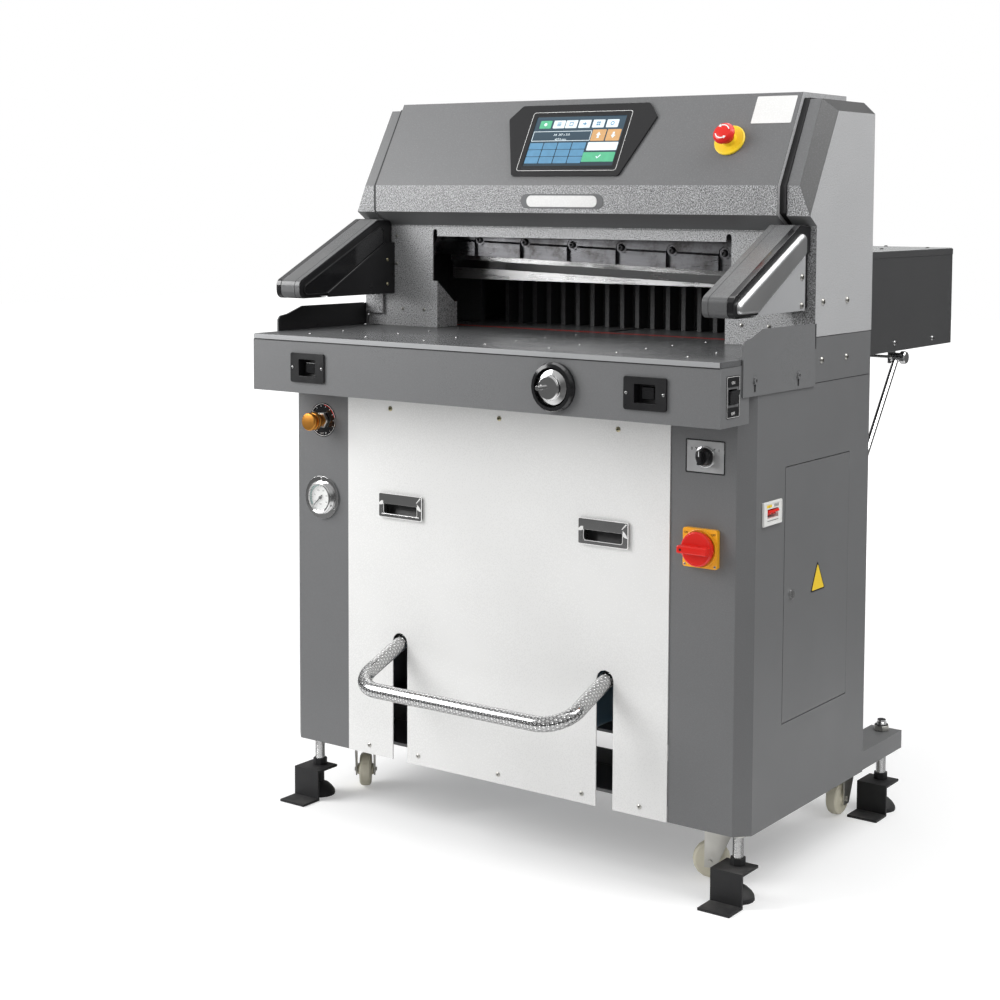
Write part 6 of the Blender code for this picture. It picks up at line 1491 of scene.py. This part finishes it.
class CUTTER_OT_mouth(bpy.types.Operator):
    """Dress the mouth and the rear: knife bolts, dark inner walls, the rear box's lid and its screws."""
    bl_idname = "cutter.mouth"
    bl_label = "Mouth and rear box"

    def execute(self, context):
        pitch, middle, height, fall = 0.11, 0.0057, 1.0795, -0.028333
        spots_x = [middle + step * pitch for step in (-2.5, -1.5, -0.5, 0.5, 1.5, 2.5)]
        rows = [(at(x, 0.2994, height + fall * x), FORWARD, 11 * i) for i, x in enumerate(spots_x)]
        screws("knife_bolts", "socket", 0.0068, "dark_bolt", rows, "knife")
        washers = bmesh.new()
        profile = ((0.0066, 0), (0.0098, 0), (0.0104, 0.0006), (0.0104, 0.0014), (0.0066, 0.0014), (0.0066, 0))
        for x in spots_x:
            lathe(washers, profile, at(x, 0.3024, height + fall * x), FORWARD, 32)
        piece("knife_washers", washers, "oiled_steel", "knife")
        walls = bmesh.new()
        for side in (-1, 1):
            low, high = sorted((side * 0.3650, side * 0.4520))
            block(walls, (low, 0.4345, 0.9150), (high, 0.4485, 1.0700))
            low, high = sorted((side * 0.4385, side * 0.4410))
            block(walls, (low, 0.3220, 0.9150), (high, 0.3370, 1.0300))
        piece("mouth_inner_walls", eased(walls, 0.0008), "inside_paint")
        self.rear_box()
        return {'FINISHED'}

    def rear_box(self):
        """The rear box's bright lid with its screws, and the hems under the lid's edges."""
        low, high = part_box("rear_box")
        inset_by, top, lid_thick = 0.0006, high.z, 0.0016
        outline = rounded(rectangle(low.x + inset_by, high.x - inset_by, 0.4530, 0.9694), 0.002, 3)
        lid = slab(bmesh.new(), "Z", outline, top + SEAT, top + lid_thick)
        piece("rear_box_lid", eased(lid, 0.0005), "lid_coat")
        spots_xy = ((0.419, 0.560), (0.387, 0.740), (0.419, 0.890), (0.298, 0.958), (0.0, 0.958), (0.0, 0.470))
        rows = [(at(x, y, top + lid_thick), UP, 17 * i) for i, (x, y) in enumerate(spots_xy)]
        screws("rear_lid_screws", "cross", 0.0042, "black_plastic", mirror_rows(rows))
        hem = bmesh.new()
        outline = rounded(rectangle(0.4530, 0.9690, top - 0.0120, top - 0.0004), 0.001, 3)
        for side in (-1, 1):
            wing(hem, side, outline, 0.4400 + SEAT, 0.4412)
        piece("rear_box_hems", eased(hem, 0.0004), "box_coat")


# Studio
FLOOR_REACH = 14.0
CAMERA_PLACE, CAMERA_SHIFT = (1.902, -3.0212, 1.1695), (-0.02216, -0.15897)
CAMERA_YAW, CAMERA_PITCH, CAMERA_ROLL = 0.6176, -0.0778, 0.0046


def lamp(name, spot_from, target, wide, high, power):
    """An area lamp that looks at the target."""
    light = bpy.data.lights.new(name, 'AREA')
    light.shape, light.size, light.size_y, light.energy = 'RECTANGLE', wide, high, power
    made = bpy.data.objects.new(name, light)
    made.location = spot_from
    made.rotation_euler = (Vector(target) - Vector(spot_from)).to_track_quat('-Z', 'Y').to_euler()
    bpy.context.scene.collection.objects.link(made)


def floor_material():
    """A pale floor that shows white to the camera and in reflections, and keeps the shadow."""
    made = bpy.data.materials.new("studio_floor")
    made.use_nodes = True
    tree = made.node_tree
    tree.nodes.clear()
    end = tree.nodes.new('ShaderNodeOutputMaterial')
    path = node(tree, 'ShaderNodeLightPath').outputs
    away = node(tree, 'ShaderNodeVectorMath', {0: spots(tree)}, operation='LENGTH').outputs["Value"]
    far = times(tree, path["Is Glossy Ray"], span(tree, away, 0.8, 2.0))
    shade = tint(tree, far, (0.8, 0.8, 0.8, 1), (0.08, 0.08, 0.08, 1))
    matt = node(tree, 'ShaderNodeBsdfDiffuse', {"Color": shade})
    seen = calc(tree, 'MAXIMUM', path["Is Camera Ray"], path["Is Transmission Ray"])
    seen = calc(tree, 'MAXIMUM', seen, times(tree, path["Is Glossy Ray"], 0.1))
    lift = times(tree, seen, span(tree, away, 1.3, 3.0, 0.28, 0.80))
    glow = node(tree, 'ShaderNodeEmission', {"Color": (1, 1, 1, 1), "Strength": lift})
    both = node(tree, 'ShaderNodeAddShader', {0: matt.outputs[0], 1: glow.outputs[0]})
    tree.links.new(both.outputs[0], end.inputs[0])
    return made


class CUTTER_OT_studio(bpy.types.Operator):
    """Make the pale floor, the lamps, the room light and the camera."""
    bl_idname = "cutter.studio"
    bl_label = "Studio"

    def execute(self, context):
        studio = context.scene.cutter_studio
        form = bmesh.new()
        corners = rectangle(-FLOOR_REACH, FLOOR_REACH, -FLOOR_REACH, FLOOR_REACH)
        form.faces.new([form.verts.new((x, y, 0)) for x, y in corners])
        floor = loose(form, "studio_floor")
        floor.data.materials.append(floor_material())
        lamp("key", (-2.0, -1.9, 1.95), (-0.1, -0.2, 0.75), 1.7, 1.9, studio.key_power)
        lamp("side", (2.0, 0.1, 2.7), (0.4, 0.0, 0.9), 1.6, 1.6, studio.side_power)
        lamp("top", (0.2, 0.4, 3.6), (0.0, 0.0, 0.8), 3.0, 2.4, studio.top_power)
        self.room(context, studio.sky)
        self.camera(context, studio.lens)
        context.scene.view_settings.view_transform = 'Standard'
        return {'FINISHED'}

    def room(self, context, sky):
        """Even light that shows white to the camera and is dimmer, low down, in reflections."""
        world = bpy.data.worlds.new("room")
        context.scene.world = world
        world.use_nodes = True
        tree = world.node_tree
        path = node(tree, 'ShaderNodeLightPath').outputs
        seen = calc(tree, 'MAXIMUM', path["Is Camera Ray"], path["Is Transmission Ray"])
        height = node(tree, 'ShaderNodeSeparateXYZ', {0: spots(tree, 'Generated')}).outputs[2]
        dim = times(tree, path["Is Glossy Ray"], span(tree, height, 0.12, 0.55, 1.0, 0.0))
        base = times(tree, minus(tree, 1.0, times(tree, dim, 0.8)), sky)
        back = tree.nodes["Background"]
        tree.links.new(calc(tree, 'MAXIMUM', seen, base), back.inputs["Strength"])
        back.inputs["Color"].default_value = (1, 1, 1, 1)

    def camera(self, context, lens):
        """The camera that was fitted to the photograph."""
        yaw, pitch, roll = CAMERA_YAW, CAMERA_PITCH, CAMERA_ROLL
        ahead = Vector((-math.sin(yaw) * math.cos(pitch), math.cos(yaw) * math.cos(pitch), math.sin(pitch)))
        across = Vector((math.cos(yaw), math.sin(yaw), 0.0))
        above = across.cross(ahead)
        side = across * math.cos(roll) + above * math.sin(roll)
        top = above * math.cos(roll) - across * math.sin(roll)
        data = bpy.data.cameras.new("camera")
        data.sensor_width, data.lens = 36.0, lens
        data.shift_x, data.shift_y = CAMERA_SHIFT
        data.clip_start, data.clip_end = 0.05, 60.0
        made = bpy.data.objects.new("camera", data)
        made.matrix_world = Matrix((side, top, -ahead)).transposed().to_4x4()
        made.location = CAMERA_PLACE
        context.scene.collection.objects.link(made)
        context.scene.camera = made


STEPS = (
    CUTTER_OT_finishes,
    CUTTER_OT_nodes,
    CUTTER_OT_screws,
    CUTTER_OT_screen,
    CUTTER_OT_hood,
    CUTTER_OT_guards,
    CUTTER_OT_controls,
    CUTTER_OT_apron_parts,
    CUTTER_OT_lower,
    CUTTER_OT_mouth,
    CUTTER_OT_studio,
)


class CUTTER_PT_panel(bpy.types.Panel):
    """Sizes, colours and the steps that build the looks."""
    bl_idname = "CUTTER_PT_panel"
    bl_label = "Paper cutter"
    bl_space_type = 'VIEW_3D'
    bl_region_type = 'UI'
    bl_category = "Cutter"

    def draw(self, context):
        for settings in (context.scene.cutter_colours, context.scene.cutter_sizes, context.scene.cutter_studio):
            box = self.layout.box()
            for key in settings.__annotations__:
                box.prop(settings, key)
        for step in STEPS:
            self.layout.operator(step.bl_idname)


SETTINGS = (("cutter_colours", CutterColours), ("cutter_sizes", CutterSizes), ("cutter_studio", CutterStudio))


def register():
    for name, group in SETTINGS:
        bpy.utils.register_class(group)
        setattr(bpy.types.Scene, name, bpy.props.PointerProperty(type=group))
    for step in STEPS + (CUTTER_PT_panel,):
        bpy.utils.register_class(step)


def unregister():
    for step in STEPS + (CUTTER_PT_panel,):
        bpy.utils.unregister_class(step)
    for name, group in SETTINGS:
        delattr(bpy.types.Scene, name)
        bpy.utils.unregister_class(group)


def main():
    register()
    for step in STEPS:
        family, action = step.bl_idname.split(".")
        if getattr(getattr(bpy.ops, family), action)() != {'FINISHED'}:
            raise RuntimeError(step.bl_label + " did not finish")


if __name__ == "__main__":
    main()
